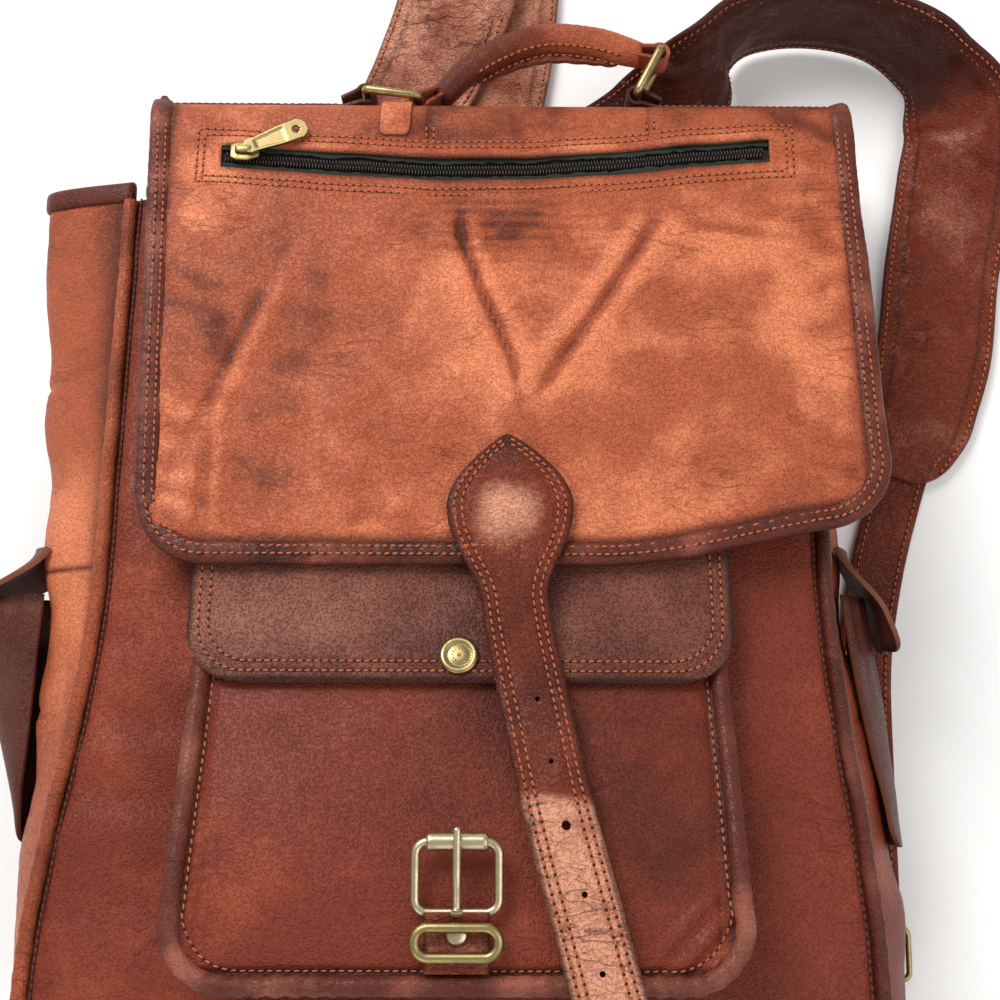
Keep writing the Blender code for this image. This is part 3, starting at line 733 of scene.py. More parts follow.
                # A dark flat bead between each pair of stitches: painted shade in the needle hole.
                hole_shade = Matrix.Translation(place.lerp(other, 0.5)) @ turn
                hole_shades.append(hole_shade @ Matrix.Diagonal((radius * 1.35, radius * 1.5, radius * 0.3, 1)))
        work = cls.beads(spots)
        sewn = len(work.faces)
        cls.absorb(work, cls.beads(hole_shades))
        work.faces.ensure_lookup_table()
        for face in work.faces[sewn:]:
            face.material_index = 1
        obj = cls.from_bmesh(name, work, finish)
        obj.data.materials.append(FinishStore.get(Finish.HOLE_SHADE))
        return obj

    @staticmethod
    def absorb(whole: bmesh.types.BMesh, part: bmesh.types.BMesh) -> None:
        """Moves a part's faces into a whole, and frees the part."""
        mesh = bpy.data.meshes.new("part")
        part.to_mesh(mesh)
        part.free()
        whole.from_mesh(mesh)
        bpy.data.meshes.remove(mesh)

    @staticmethod
    def beads(spots: Sequence[Matrix]) -> bmesh.types.BMesh:
        """A small sphere at each spot, made in batches so that the operator stays quick."""
        whole = bmesh.new()
        for start in range(0, len(spots), 30):
            part = bmesh.new()
            for spot in spots[start : start + 30]:
                bmesh.ops.create_uvsphere(part, u_segments=6, v_segments=4, radius=1.0, matrix=spot)
            Maker.absorb(whole, part)
        return whole

    @classmethod
    def disc(
        cls, name: str, place: Vector, normal: Vector, profile: Sequence[tuple[float, float]], finish: Finish,
        steps: int = 40,
    ) -> bpy.types.Object:
        """A turned piece: a profile of (radius, height) spun round its normal."""
        work = bmesh.new()
        verts = [work.verts.new((r, 0, h)) for r, h in profile]
        edges = [work.edges.new(pair) for pair in zip(verts, verts[1:])]
        bmesh.ops.spin(work, geom=[*verts, *edges], cent=(0, 0, 0), axis=(0, 0, 1), angle=2 * math.pi,
                       steps=steps, use_merge=True)
        bmesh.ops.remove_doubles(work, verts=work.verts, dist=1e-6)
        bmesh.ops.recalc_face_normals(work, faces=work.faces)
        turn = normal.to_track_quat("Z", "Y").to_matrix().to_4x4()
        bmesh.ops.transform(work, matrix=Matrix.Translation(place) @ turn, verts=work.verts)
        return cls.from_bmesh(name, work, finish)

    @staticmethod
    def place(
        obj: bpy.types.Object, body: Body, finish: Finish, replaces: Sequence[str] = ()
    ) -> bpy.types.Object:
        """Puts a piece on its body and hides the nodes it stands for."""
        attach(obj, body.value)
        if replaces:
            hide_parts(*replaces)
        LOG.info("%s rides on %s", obj.name, body.value)
        return obj

    @classmethod
    def sew(
        cls, name: str, rows: Sequence[Sequence[tuple[Vector, Vector]]], body: Body,
        finish: Finish = Finish.THREAD,
    ) -> None:
        """Makes rows of stitches and puts them on their body."""
        cls.place(cls.stitches(name, rows, finish), body, finish)

    @classmethod
    def dress(
        cls, obj: bpy.types.Object, body: Body, finish: Finish, replaces: Sequence[str] = (),
        tone: Field | float = 0.5, edge: Field | float = 0.0,
    ) -> None:
        """Paints a leather piece and puts it on its body."""
        cls.paint(obj, tone, edge)
        cls.place(obj, body, finish, replaces)


# Sizes shared by the whole bag


@dataclass(frozen=True)
class BagShape:
    """The body's outer surfaces, as the frame has them."""

    top: float = 0.2
    bottom: float = -0.2
    back_half: float = 0.148
    mouth: float = 0.158
    front_at_mouth: float = 0.06
    slope: float = 0.11
    rise_from: float = 0.06
    rise: float = 0.018
    hinge_y: float = 0.193
    hinge_z: float = 0.064
    flap_slope: float = 0.15

    def back_z(self, y: float) -> float:
        """Height of the back panel's outer face."""
        return self.rise * max(0.0, (y - self.rise_from) / (self.top - self.rise_from)) ** 1.2

    def front_z(self, y: float) -> float:
        """Height of the front panel's outer face."""
        return self.front_at_mouth + (self.mouth - y) * self.slope

    def front_left(self, y: float) -> float:
        """Left seam of the front panel."""
        return -0.162 - 0.017 * smooth((-0.01 - y) / 0.16)

    def front_right(self, y: float) -> float:
        """Right seam of the front panel."""
        return 0.133 + 0.012 * smooth((-0.01 - y) / 0.16)

    def flap_z(self, y: float) -> float:
        """Height of the main flap's upper face."""
        return self.hinge_z + 0.004 + (self.hinge_y - y) * self.flap_slope

    def gusset(self, side: int, y: float, t: float) -> Vector:
        """Outer surface of a side wall, from the back seam (0) to the front seam (1)."""
        low = self.back_z(y) + 0.004
        high = self.front_z(y) - 0.0048
        if side < 0:
            back, front = -self.back_half - 0.002, self.front_left(y) - 0.0006
            bulge = between(0.025, 0.048, smooth((y + self.top) / (2 * self.top)))
        else:
            back, front = self.back_half - 0.002, self.front_right(y) + 0.0006
            bulge = between(0.019, 0.006, smooth((y + 0.16) / 0.17))
        s = max(0.0, (t - 0.12) / 0.88)
        x = between(back, front, s) + side * bulge * math.sin(math.pi * s)
        return vec3(x, y, between(low, high, t))


BAG = BagShape()


class Seams:
    """Lays rows of thread on surfaces."""

    PITCH = 3.2 * MM

    @classmethod
    def along(cls, line: Sequence[Vector], normal: Vector) -> list[tuple[Vector, Vector]]:
        """Stitch places along a line on a flat face."""
        return [(place, normal) for place in resample(line, cls.PITCH)]

    @classmethod
    def beside(
        cls, chain: Sequence[Vector], frames: Sequence[tuple[Vector, Vector]], face: int
    ) -> list[tuple[Vector, Vector]]:
        """Stitch places along a strap, each with the normal of its nearest frame."""
        row = []
        for place in resample(chain, cls.PITCH):
            near = min(range(len(chain)), key=lambda k: (chain[k] - place).length_squared)
            row.append((place, frames[near][1] * face))
        return row

    @classmethod
    def on(cls, line: Sequence[Vector], surface: Field, lift: float = 0.0) -> list[tuple[Vector, Vector]]:
        """Stitch places along a line in plan.

        Args:
            line: the row in plan.
            surface: height of the leather at a place.
            lift: extra height.

        Returns:
            The place and normal of each stitch.
        """
        step = 0.0008
        row = []
        for p in resample(line, cls.PITCH):
            z = surface(p)
            dx = surface(vec3(p.x + step, p.y, 0)) - z
            dy = surface(vec3(p.x, p.y + step, 0)) - z
            row.append((vec3(p.x, p.y, z + lift), vec3(-dx / step, -dy / step, 1).normalized()))
        return row


# Floor, light and camera


@dataclass
class Studio:
    """A pale floor, soft light from above and a camera that looks almost straight down."""

    eye: Vector
    elevation: float = 79.991
    azimuth: float = 2.297
    roll: float = 2.518
    lens: float = 50.546

    def build(self) -> None:
        """Makes the floor, the lights and the camera."""
        self.floor()
        self.light("key", vec3(-0.6, 0.95, 1.15), 0.8, 21.0)
        self.light("fill", vec3(0.95, -0.35, 1.2), 1.4, 8.0)
        self.light("low", vec3(-0.5, -1.2, 0.75), 1.0, 4.0)
        world = bpy.data.worlds.new("soft_room")
        bpy.context.scene.view_settings.view_transform = "Standard"
        world.use_nodes = True
        back = world.node_tree.nodes["Background"]
        back.inputs["Color"].default_value = (1.0, 0.985, 0.96, 1.0)
        back.inputs["Strength"].default_value = 0.48
        bpy.context.scene.world = world
        self.camera()

    def floor(self) -> None:
        """A wide pale floor."""
        work = bmesh.new()
        bmesh.ops.create_grid(work, x_segments=2, y_segments=2, size=4.0)
        mesh = bpy.data.meshes.new("floor")
        work.to_mesh(mesh)
        work.free()
        floor = bpy.data.objects.new("floor", mesh)
        bpy.context.scene.collection.objects.link(floor)
        g = Graph("pale_floor")
        speck = g.noise(g.place(), 300.0)
        g.set(Base_Color=g.mix(speck, (0.95, 0.945, 0.935), (0.98, 0.975, 0.97)), Roughness=0.9)
        mesh.materials.append(g.material)

    def light(self, name: str, place: Vector, size: float, power: float) -> None:
        """An area light that points at the bag."""
        data = bpy.data.lights.new(name, "AREA")
        data.energy = power
        data.size = size
        lamp = bpy.data.objects.new(name, data)
        turn = (vec3(0, 0, 0.05) - place).to_track_quat("-Z", "Y")
        lamp.matrix_world = Matrix.Translation(place) @ turn.to_matrix().to_4x4()
        bpy.context.scene.collection.objects.link(lamp)

    def camera(self) -> None:
        """The camera."""
        e, a, r = (math.radians(value) for value in (self.elevation, self.azimuth, self.roll))
        ahead = vec3(math.sin(a) * math.cos(e), math.cos(a) * math.cos(e), -math.sin(e))
        right = vec3(math.cos(a), -math.sin(a), 0)
        up = right.cross(ahead)
        right, up = right * math.cos(r) + up * math.sin(r), up * math.cos(r) - right * math.sin(r)
        data = bpy.data.cameras.new("camera")
        data.lens = self.lens
        data.sensor_width = 36.0
        eye = bpy.data.objects.new("camera", data)
        turn = Matrix((right, up, -ahead)).transposed().to_4x4()
        eye.matrix_world = Matrix.Translation(self.eye) @ turn
        bpy.context.scene.collection.objects.link(eye)
        bpy.context.scene.camera = eye


# Body


@dataclass
class BodyShell:
    """The sewn box: side walls, front, base, piping, back and the band along the top."""

    low: float = -0.199
    leather: float = 0.0022
    piping: float = 0.003

    def build(self) -> None:
        """Makes every piece of the shell."""
        self.side_wall(-1, 0.162, "left_wall", "left_gusset", Finish.TAN)
        self.side_wall(1, 0.15, "right_wall", "right_gusset", Finish.RED)
        self.front()
        self.base()
        self.pipings()
        self.rims()
        self.back()
        self.band()

    def crumple(self, place: Vector, side: int) -> float:
        """Relief of a side wall, which sags in soft folds across its height."""
        fold = 0.0016 * math.sin(place.y * 95 + 3.0 * grain(place, 14, 3.0) + place.z * 22)
        fold *= smooth(0.5 + grain(place, 11, 8.0))
        fine = 0.0005 * grain(place, 90, 2.0) + 0.0003 * grain(place, 210, 5.0)
        crease = -0.0016 * bump(place.y - 0.075 - 0.25 * (place.z - 0.04), 0.0022) if side < 0 else 0.0
        crease -= 0.0013 * bump(place.y + 0.062 + 0.2 * (place.z - 0.04), 0.002)
        return fold + fine + crease

    def side_wall(self, side: int, top: float, name: str, node: str, finish: Finish) -> None:
        """One gusset."""

        def shape(u: float, v: float) -> Vector:
            """A point of the wall."""
            t = u if side < 0 else 1 - u
            place = BAG.gusset(side, between(self.low, top, v), t)
            fade = math.sin(math.pi * min(1.0, max(0.0, t))) ** 0.6
            return place + vec3(side * self.crumple(place, side) * fade, 0, 0.0)

        def tone(place: Vector) -> float:
            """Paler high on the bulge and darker toward the base."""
            value = 0.42 + 0.34 * bump(place.z - BAG.front_z(place.y) + 0.016, 0.014)
            value -= 0.32 * smooth((place.y - 0.01) / 0.07)
            return value - 0.1 * smooth((-0.02 - place.y) / 0.16) + 0.26 * grain(place, 16, 4.0)

        def edge(place: Vector) -> float:
            """Burnish in the joins."""
            high = BAG.front_z(place.y) - 0.0048 - place.z
            join = 0.8 * bump(place.y + 0.006, 0.0016) if side < 0 else 0.0
            return max(
                0.75 * bump(high, 0.004), 0.7 * bump(place.z - BAG.back_z(place.y) - 0.004, 0.006), join
            )

        obj = Maker.sheet(name, shape, 44, 150, finish, self.leather)
        Maker.dress(obj, Body.BAG, finish, [node], tone, edge)

    def front(self) -> None:
        """The front panel, creased across where the load pulls it."""

        def shape(u: float, v: float) -> Vector:
            """A point of the panel."""
            y = between(self.low, BAG.mouth, v)
            x = between(BAG.front_left(y) + 0.002, BAG.front_right(y) - 0.002, u)
            place = vec3(x, y, 0)
            edge = min(u, 1 - u) * 0.3
            roll = -0.0024 * bump(edge, 0.004)
            wave = 0.0007 * math.sin(y * 150 + 5 * grain(place, 12, 1.0)) * smooth(grain(place, 9, 6.0) + 0.6)
            fine = 0.0004 * grain(place, 60, 3.0)
            return vec3(x, y, BAG.front_z(y) + roll + wave + fine - 0.0004)

        def tone(place: Vector) -> float:
            """Paler where the panel is proud."""
            return 0.5 + 0.22 * grain(place, 17, 2.0) + 0.12 * bump(place.x + 0.15, 0.02)

        def edge(place: Vector) -> float:
            """Burnish beside the piping."""
            left = place.x - BAG.front_left(place.y)
            right = BAG.front_right(place.y) - place.x
            return max(bump(min(left, right), 0.0045) * 0.8, 0.9 * bump(place.y - BAG.mouth, 0.004))

        obj = Maker.sheet("front_leather", shape, 130, 150, Finish.RED, self.leather)
        Maker.dress(obj, Body.BAG, Finish.RED, ["front_panel"], tone, edge)

    def base(self) -> None:
        """The base panel with a row of thread round it."""

        def shape(u: float, v: float) -> Vector:
            """A point of the panel."""
            left, right = BAG.gusset(-1, self.low, v), BAG.gusset(1, self.low, v)
            x = between(left.x, right.x, u)
            z = between(left.z, right.z, v)
            dent = 0.0006 * grain(vec3(x, z, 0), 30, 7.0) * math.sin(math.pi * v)
            return vec3(x, BAG.bottom - 0.0006 - 0.0026 + dent, z)

        def edge(place: Vector) -> float:
            """Burnish round the rim."""
            return 0.8 * max(bump(place.z - 0.005, 0.005), bump(place.z - 0.094, 0.006))

        obj = Maker.sheet("base_leather", shape, 120, 36, Finish.RED, 0.0028, soften=0.0009)
        Maker.dress(
            obj, Body.BAG, Finish.RED, ["base_panel"], lambda p: 0.42 + 0.25 * grain(p, 20, 9.0), edge
        )
        rows = []
        for v in (0.055, 0.945):
            line = [shape(0.03 + 0.94 * k / 60, v) + vec3(0, -0.0002, 0) for k in range(61)]
            rows.append(Seams.along(line, vec3(0, -1, 0)))
        Maker.sew("base_thread", rows, Body.BAG, Finish.DARK_THREAD)

    def pipings(self) -> None:
        """Piping down both seams of the front, and its stitches."""
        rows = []
        for side, edge, name, finish in (
            (-1, BAG.front_left, "left_piping", Finish.TAN),
            (1, BAG.front_right, "right_piping", Finish.BINDING),
        ):
            line = []
            for k in range(151):
                y = between(self.low, BAG.mouth - 0.001, k / 150)
                wander = 0.0005 * grain(vec3(0, y, side), 45)
                line.append(vec3(edge(y) + wander, y, BAG.front_z(y) - 0.0016 + wander * 0.5))

            def section(v: float, a: float) -> tuple[float, float]:
                """A soft round, pinched by its stitches."""
                pinch = 1.0 + 0.05 * math.sin(v * 2 * math.pi * 112)
                return self.piping * pinch * math.cos(a), self.piping * pinch * math.sin(a)

            obj = Maker.tube(f"{name}_roll", line, section, finish, 14)
            Maker.dress(obj, Body.BAG, finish, [name],
                        lambda p: 0.45 + 0.3 * grain(p, 40, 5.0), lambda p: 0.3 + 0.3 * grain(p, 60, 2.0))
            near = [p + vec3(-side * 0.0046, 0, 0) for p in line]
            rows.append(Seams.on(near, lambda p: BAG.front_z(p.y) - 0.0012))
        Maker.sew("piping_thread", rows, Body.BAG, Finish.DARK_THREAD)
        left, right = BAG.gusset(-1, self.low, 1.0).x, BAG.gusset(1, self.low, 1.0).x
        line = [vec3(between(left, right, k / 60), self.low - 0.0012, BAG.front_z(self.low) - 0.0026)
                for k in range(61)]
        obj = Maker.tube("base_roll", line, Maker.round_section(0.0038), Finish.BINDING, 14)
        Maker.dress(obj, Body.BAG, Finish.BINDING, (), lambda p: 0.45 + 0.3 * grain(p, 40, 5.0), 0.3)

    def rims(self) -> None:
        """Dark folded binding along the upper rims of the side walls, and along the mouth."""
        for side, top, name in ((-1, 0.162, "left_rim"), (1, 0.15, "right_rim")):
            line = [BAG.gusset(side, top, k / 40) + vec3(-side * 0.0008, 0.0006, 0) for k in range(41)]
            obj = Maker.tube(name, line, Maker.flat_section(0.0046, 0.0023), Finish.BINDING, 14,
                             up=vec3(side, 0, 0.01))
            Maker.dress(
                obj, Body.BAG, Finish.BINDING, (), lambda p: 0.5 + 0.3 * grain(p, 50, 1.0), lambda p: 0.2
            )
        line = [vec3(between(-0.155, 0.127, k / 60), BAG.mouth + 0.0028, BAG.front_at_mouth - 0.001)
                for k in range(61)]
        obj = Maker.tube("mouth_roll", line, Maker.flat_section(0.0026, 0.0022), Finish.BINDING, 12)
        Maker.dress(obj, Body.BAG, Finish.BINDING, ["mouth_binding"], 0.5, 0.1)

    def back(self) -> None:
        """The back panel, quilted by two rows of thread round its edge."""
        half = BAG.back_half

        def shape(u: float, v: float) -> Vector:
            """A point of the panel's inner face."""
            y = between(BAG.bottom, BAG.top - 0.004, v)
            x = between(half - 0.004, -half, u)
            dip = 0.0003 * (1 + grain(vec3(x, y, 0), 25, 3.0))
            return vec3(x, y, BAG.back_z(y) + dip)

        obj = Maker.sheet("back_leather", shape, 60, 90, Finish.TAN, 0.0024)
        Maker.dress(obj, Body.BAG, Finish.TAN, ["back_panel"],
                    lambda p: 0.5 + 0.25 * grain(p, 14, 6.0),
                    lambda p: max(bump(abs(p.x + 0.002) - 0.139, 0.004), bump(abs(p.y) - 0.192, 0.004)) * 0.7)
        rows = []
        for inset in (0.006, 0.01):
            left, right = -half + inset, half - 0.004 - inset
            low, high = BAG.bottom + inset, 0.194 - inset
            line = [vec3(left, low), vec3(right, low), vec3(right, high), vec3(left, high), vec3(left, low)]
            rows.append([(vec3(p.x, p.y, BAG.back_z(p.y) + 0.0001), vec3(0, 0, -1))
                         for p in resample(line, Seams.PITCH)])
        Maker.sew("back_thread", rows, Body.BAG)

    def band(self) -> None:
        """The stiff band along the top, behind the handle, with its row of thread."""

        def shape(u: float, v: float) -> Vector:
            """A point of the band's outer face."""
            x, z = between(0.15, -0.15, u), between(0.0207, 0.0608, v)
            return vec3(x, BAG.top + 0.0005 + 0.0004 * grain(vec3(x, z, 0), 30), z)

        obj = Maker.sheet("band_leather", shape, 100, 16, Finish.TAN, 0.0024)
        Maker.dress(obj, Body.BAG, Finish.TAN, ["top_band"],
                    lambda p: 0.45 + 0.2 * grain(p, 20, 2.0),
                    lambda p: 0.8 * max(bump(p.z - 0.0207, 0.003), bump(p.z - 0.0608, 0.003)))
        rows = []
        for z in (0.0242, 0.028):
            line = [vec3(-0.145, 0.20085, z), vec3(0.145, 0.20085, z)]
            rows.append(Seams.along(line, vec3(0, 1, 0)))
        Maker.sew("band_thread", rows, Body.BAG)


# Main flap


@dataclass
class MainFlap:
    """The big flap: creased hide, a folded binding and a slot for the zip."""

    left: float = -0.153
    right: float = 0.158
    width: float = 0.009
    thick: float = 0.0024
    radius: float = 0.026
    slot_left: float = -0.121
    slot_right: float = 0.117
    slot_half: float = 0.0055
    slot_middle: ClassVar[float] = 0.1745
    crest: float = 0.1905
    radius_over: float = 0.0105
    drop: float = 0.0055
    columns: int = 150
    low_rows: int = 92
    slot_rows: int = 4
    top_rows: int = 8
    fold_rows: int = 12

    def build(self) -> None:
        """Makes the hide, its binding, its thread and its lining."""
        self.hide()
        self.binding()
        self.thread()
        self.small_tab()
        self.lining()

    @staticmethod
    def end(x: float) -> float:
        """The lower edge."""
        return -0.008 + 0.018 * smooth((x - 0.04) / 0.12)

    @staticmethod
    def slot_y(x: float) -> float:
        """Centre of the zip's slot, which sags in the soft hide."""
        knots = ((-0.126, -0.001), (-0.065, -0.0052), (-0.03, -0.0074), (0.01, -0.007), (0.045, -0.0042),
                 (0.087, 0.0002), (0.122, 0.003))
        x = min(0.1219, max(-0.1259, x))
        for (xa, ya), (xb, yb) in zip(knots, knots[1:]):
            if x <= xb:
                share = (x - xa) / (xb - xa)
                return MainFlap.slot_middle + between(ya, yb, smooth(share) * 0.5 + share * 0.5)
        return MainFlap.slot_middle

    def side(self, v: float, inset: float) -> tuple[float, float]:
        """Left and right edges at a share from the hinge to the lower edge."""
        left, right = between(self.left, self.left + 0.0085, v), between(self.right - 0.004, self.right, v)
        return left + inset, right - inset

    def outline(self, inset: float, count: int = 60) -> list[Vector]:
        """A line along the left side, the lower edge and the right side, in plan, at an inset."""
        top = 0.192
        corner = self.radius - inset * 0.6
        left_low, right_low = self.side(1.0, inset)
        line = []
        left_end = self.end(left_low) + inset
        right_end = self.end(right_low) + inset
        for k in range(count + 1):
            y = between(self.crest + self.radius_over + self.drop, left_end + corner, k / count)
            line.append(vec3(self.side((top - y) / (top - left_end), inset)[0], y, 0))
        line += quarter(left_low + corner, left_end + corner, corner, 180, 12)
        for k in range(1, count):
            x = between(left_low + corner, right_low - corner, k / count)
            line.append(vec3(x, self.end(x) + inset, 0))
        start = vec3(right_low - corner, self.end(right_low - corner) + inset, 0)
        for k in range(13):
            a = math.radians(270 + 90 * k / 12)
            rise = between(start.y, right_end, k / 12)
            line.append(vec3(start.x + corner * math.cos(a), rise + corner * (1 + math.sin(a)), 0))
        top_right = line[-1].y
        for k in range(1, count + 1):
            y = between(top_right, self.crest + self.radius_over + self.drop, k / count)
            line.append(vec3(self.side((top - y) / (top - right_end), inset)[1], y, 0))
        return line

    def height(self, y: float) -> tuple[float, float]:
        """Where a row lies: its Y and Z, with the roll over the top edge."""
        if y <= self.crest:
            return y, BAG.flap_z(y)
        turn = min(1.0, (y - self.crest) / self.radius_over) * math.radians(88)
        radius = 0.0103
        down = radius * 0.66 * (1 - math.cos(turn)) + max(0.0, y - self.crest - self.radius_over)
        return self.crest + radius * math.sin(turn), BAG.flap_z(self.crest) - down

    def relief(self, place: Vector) -> float:
        """How far the hide stands above its even surface."""
        x, y = place.x, place.y
        left = x - between(-0.0172, 0.0085, smooth((0.146 - y) / 0.088)) - 0.001 * grain(place, 90, 1.0)
        right = x - between(0.067, 0.0118, ((0.146 - y) / 0.085) ** 1.15 if y < 0.146 else 0.0)
        right -= 0.0022 * grain(place, 45, 2.0)
        span = smooth((0.15 - y) / 0.012) * smooth((y - 0.052) / 0.02)
        value = span * (-0.0024 * bump(left, 0.0022) + 0.0014 * bump(left - 0.0058, 0.0045)
                        + 0.0007 * bump(left + 0.0065, 0.005))
        value += span * (-0.0019 * bump(right, 0.0032) + 0.0012 * bump(right + 0.008, 0.0055)
                         + 0.001 * bump(right - 0.0075, 0.0055))
        sag = smooth((y - 0.112) / 0.02) * smooth((0.166 - y) / 0.012)
        value += sag * 0.00045 * math.sin(y * 1250 + 5.0 * grain(place, 30, 3.0)) * bump(x - 0.004, 0.055)
        value -= 0.0015 * bump(y - 0.1365 + 0.16 * (x - 0.115), 0.0022) * bump(x - 0.1, 0.022)
        value -= 0.0013 * bump(x + 0.113 - 0.42 * (y - 0.075), 0.003) * bump(y - 0.082, 0.038)
        value += 0.0011 * bump(x + 0.1075 - 0.42 * (y - 0.075), 0.0045) * bump(y - 0.082, 0.038)
        value -= 0.0012 * bump(x + 0.1185, 0.0024) * bump(y - 0.024, 0.024)
        value += 0.0012 * bump(x + 0.1135, 0.0036) * bump(y - 0.024, 0.026)
        ruck = smooth((0.05 - min(abs(x + 0.142), abs(x - 0.15))) / 0.05) * 0.00045
        value += ruck * math.sin((x * 0.5 + y) * 340 + 7 * grain(place, 26, 4.0))
        value += 0.0016 * grain(place, 13, 5.0)
        value += 0.001 * grain(place, 36, 6.0)
        value += 0.0004 * grain(place, 95, 7.0)
        value += 0.0014 * bump(y - self.slot_y(x) - 0.008, 0.004) * smooth((0.13 - abs(x)) / 0.02) * 0.6
        for seam in (-0.0307, 0.0655):
            value -= 0.0011 * bump(x - seam, 0.001) * smooth((y - 0.181) / 0.004)
        rim = min(x - self.left - self.width, self.right - self.width - x, y - self.end(x) - self.width)
        return value * smooth(rim / 0.012) - 0.0007 * bump(rim, 0.004)

    def surface(self, place: Vector) -> float:
        """Height of the hide's face."""
        return self.height(place.y)[1] + self.relief(place)

    def tone(self, place: Vector) -> float:
        """Pale low down and dark in patches, with painted shade that follows the relief: paler on raised hide
        and darker in its creases.
        """
        x, y = place.x, place.y
        broken = 1.0 + 0.9 * grain(place, 34, 4.0) + 0.5 * grain(place, 110, 2.0)
        value = 0.51 + 0.34 * bump(y - 0.015, 0.045) * smooth((0.14 - abs(x)) / 0.08)
        value -= 0.34 * broken * bump(x + 0.088 - 0.2 * (0.08 - y), 0.036) * bump(y - 0.076, 0.038)
        value += 0.3 * bump(x - 0.11, 0.032) * bump(y - 0.085, 0.034)
        value -= 0.16 * broken * bump(y - 0.142, 0.017) * bump(x + 0.01, 0.07)
        value -= 0.14 * bump(x + 0.11, 0.04) * bump(y - 0.15, 0.03)
        value += 0.12 * bump(x + 0.135, 0.014) * smooth((0.11 - y) / 0.05)
        value += 0.32 * bump(x - 0.118, 0.03) * bump(y - 0.135, 0.03)
        value -= 0.14 * smooth((y - 0.176) / 0.012)
        value += 0.13 * grain(place, 22, 3.0) + 0.12 * grain(place, 55, 9.0) + 0.08 * grain(place, 150, 1.0)
        # Painted shade: the tone rises on raised hide and falls in the creases.
        return value + 1.1 * self.relief(place) / 0.004

    def groove(self, place: Vector) -> float:
        """Burnish along the slot and at the rim, and painted shade in the creases."""
        x, y = place.x, place.y
        slot = abs(abs(y - self.slot_y(x)) - self.slot_half)
        inside = smooth((0.12 - abs(x + 0.002)) / 0.004)
        rim = min(x - self.left - self.width, self.right - self.width - x, y - self.end(x) - self.width)
        value = max(0.55 * bump(slot, 0.0022) * inside, 0.6 * bump(rim, 0.0035))
        # Painted shade: where the hide dips into a crease it darkens toward the burnish colour.
        low = -min(0.0, self.relief(place)) / 0.003
        return min(1.0, value + 0.55 * smooth(low))

    def hide(self) -> None:
        """The leather, cut open for the zip and rolled over the top edge."""
        rows = self.low_rows + self.slot_rows + self.top_rows + self.fold_rows
        cut_a = round(self.columns * 0.105)
        cut_b = round(self.columns * 0.868)
        inner = self.width - 0.0034

        def row_y(j: int, x: float) -> float:
            """Y of a row at a column."""
            low = self.slot_y(x) - self.slot_half
            if j <= self.low_rows:
                return between(self.end(x) + inner, low, (j / self.low_rows) ** 1.22)
            j -= self.low_rows
            if j <= self.slot_rows:
                return low + 2 * self.slot_half * j / self.slot_rows
            j -= self.slot_rows
            if j <= self.top_rows:
                return between(low + 2 * self.slot_half, self.crest, j / self.top_rows)
            return self.crest + (self.radius_over + self.drop) * (j - self.top_rows) / self.fold_rows

        def shape(u: float, v: float) -> Vector:
            """A point of the hide."""
            i, j = round(u * self.columns), round(v * rows)
            share = max(0.0, 1 - j / self.low_rows)
            left, right = self.side(share, inner)
            if i <= cut_a:
                x = between(left, self.slot_left, i / cut_a)
            elif i <= cut_b:
                x = between(self.slot_left, self.slot_right, (i - cut_a) / (cut_b - cut_a))
            else:
                x = between(self.slot_right, right, (i - cut_b) / (self.columns - cut_b))
            draw = corner_inset(row_y(j, x) - self.end(x) - inner, self.radius - inner * 0.6)
            middle, half = (left + right) / 2, (right - left) / 2
            x = middle + (x - middle) * (half - draw) / half
            y = row_y(j, x)
            place_y, z = self.height(y)
            fade = 1 - smooth((y - self.crest) / self.radius_over)
            return vec3(x, place_y, z + fade * self.relief(vec3(x, y, 0)))

        work = Maker.grid(shape, self.columns, rows)
        hole = []
        for face in work.faces:
            c = face.calc_center_median()
            if self.slot_left < c.x < self.slot_right and abs(c.y - self.slot_y(c.x)) < self.slot_half:
                hole.append(face)
        bmesh.ops.delete(work, geom=hole, context="FACES")
        obj = Maker.from_bmesh("flap_hide", work, Finish.TAN)
        Maker.paint(obj, self.tone, self.groove)
        Maker.thicken(obj, self.thick, -1.0, Finish.SUEDE)
        Maker.apply(obj)
        self.bend(obj, Finish.TAN, "flap_panel")

    @staticmethod
    def bend(obj: bpy.types.Object, finish: Finish, *nodes: str) -> None:
        """Bakes a piece's transform into its mesh and hides the frame nodes it stands for."""
        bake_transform(obj)
        if nodes:
            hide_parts(*nodes)
        LOG.info("%s bends between bag and flap", obj.name)

    def binding(self) -> None:
        """The folded strip round the flap's sides and lower edge."""
        line = []
        for p in resample(self.outline(self.width / 2), 0.002):
            y, z = self.height(p.y)
            lift = 0.0006 * grain(p, 55, 2.0)
            line.append(vec3(p.x + lift * 0.8, y, z - 0.0016 + lift))

        def section(v: float, a: float) -> tuple[float, float]:
            """A flat fold, thicker at its outer edge."""
            c, s = math.cos(a), math.sin(a)
            half, high = self.width / 2 + 0.0002, 0.0026 + 0.0004 * math.sin(v * 700)
            across = math.copysign(abs(c) ** 0.6, c) * half
            return across, math.copysign(abs(s) ** 0.7, s) * high * (1.0 + 0.22 * across / half)

        obj = Maker.tube("flap_edge", line, section, Finish.BINDING, 18)
        Maker.paint(obj, lambda p: 0.4 + 0.35 * grain(p, 60, 3.0) + 0.15 * smooth(p.y / 0.1), 0.12)
        self.bend(obj, Finish.BINDING, "flap_binding")

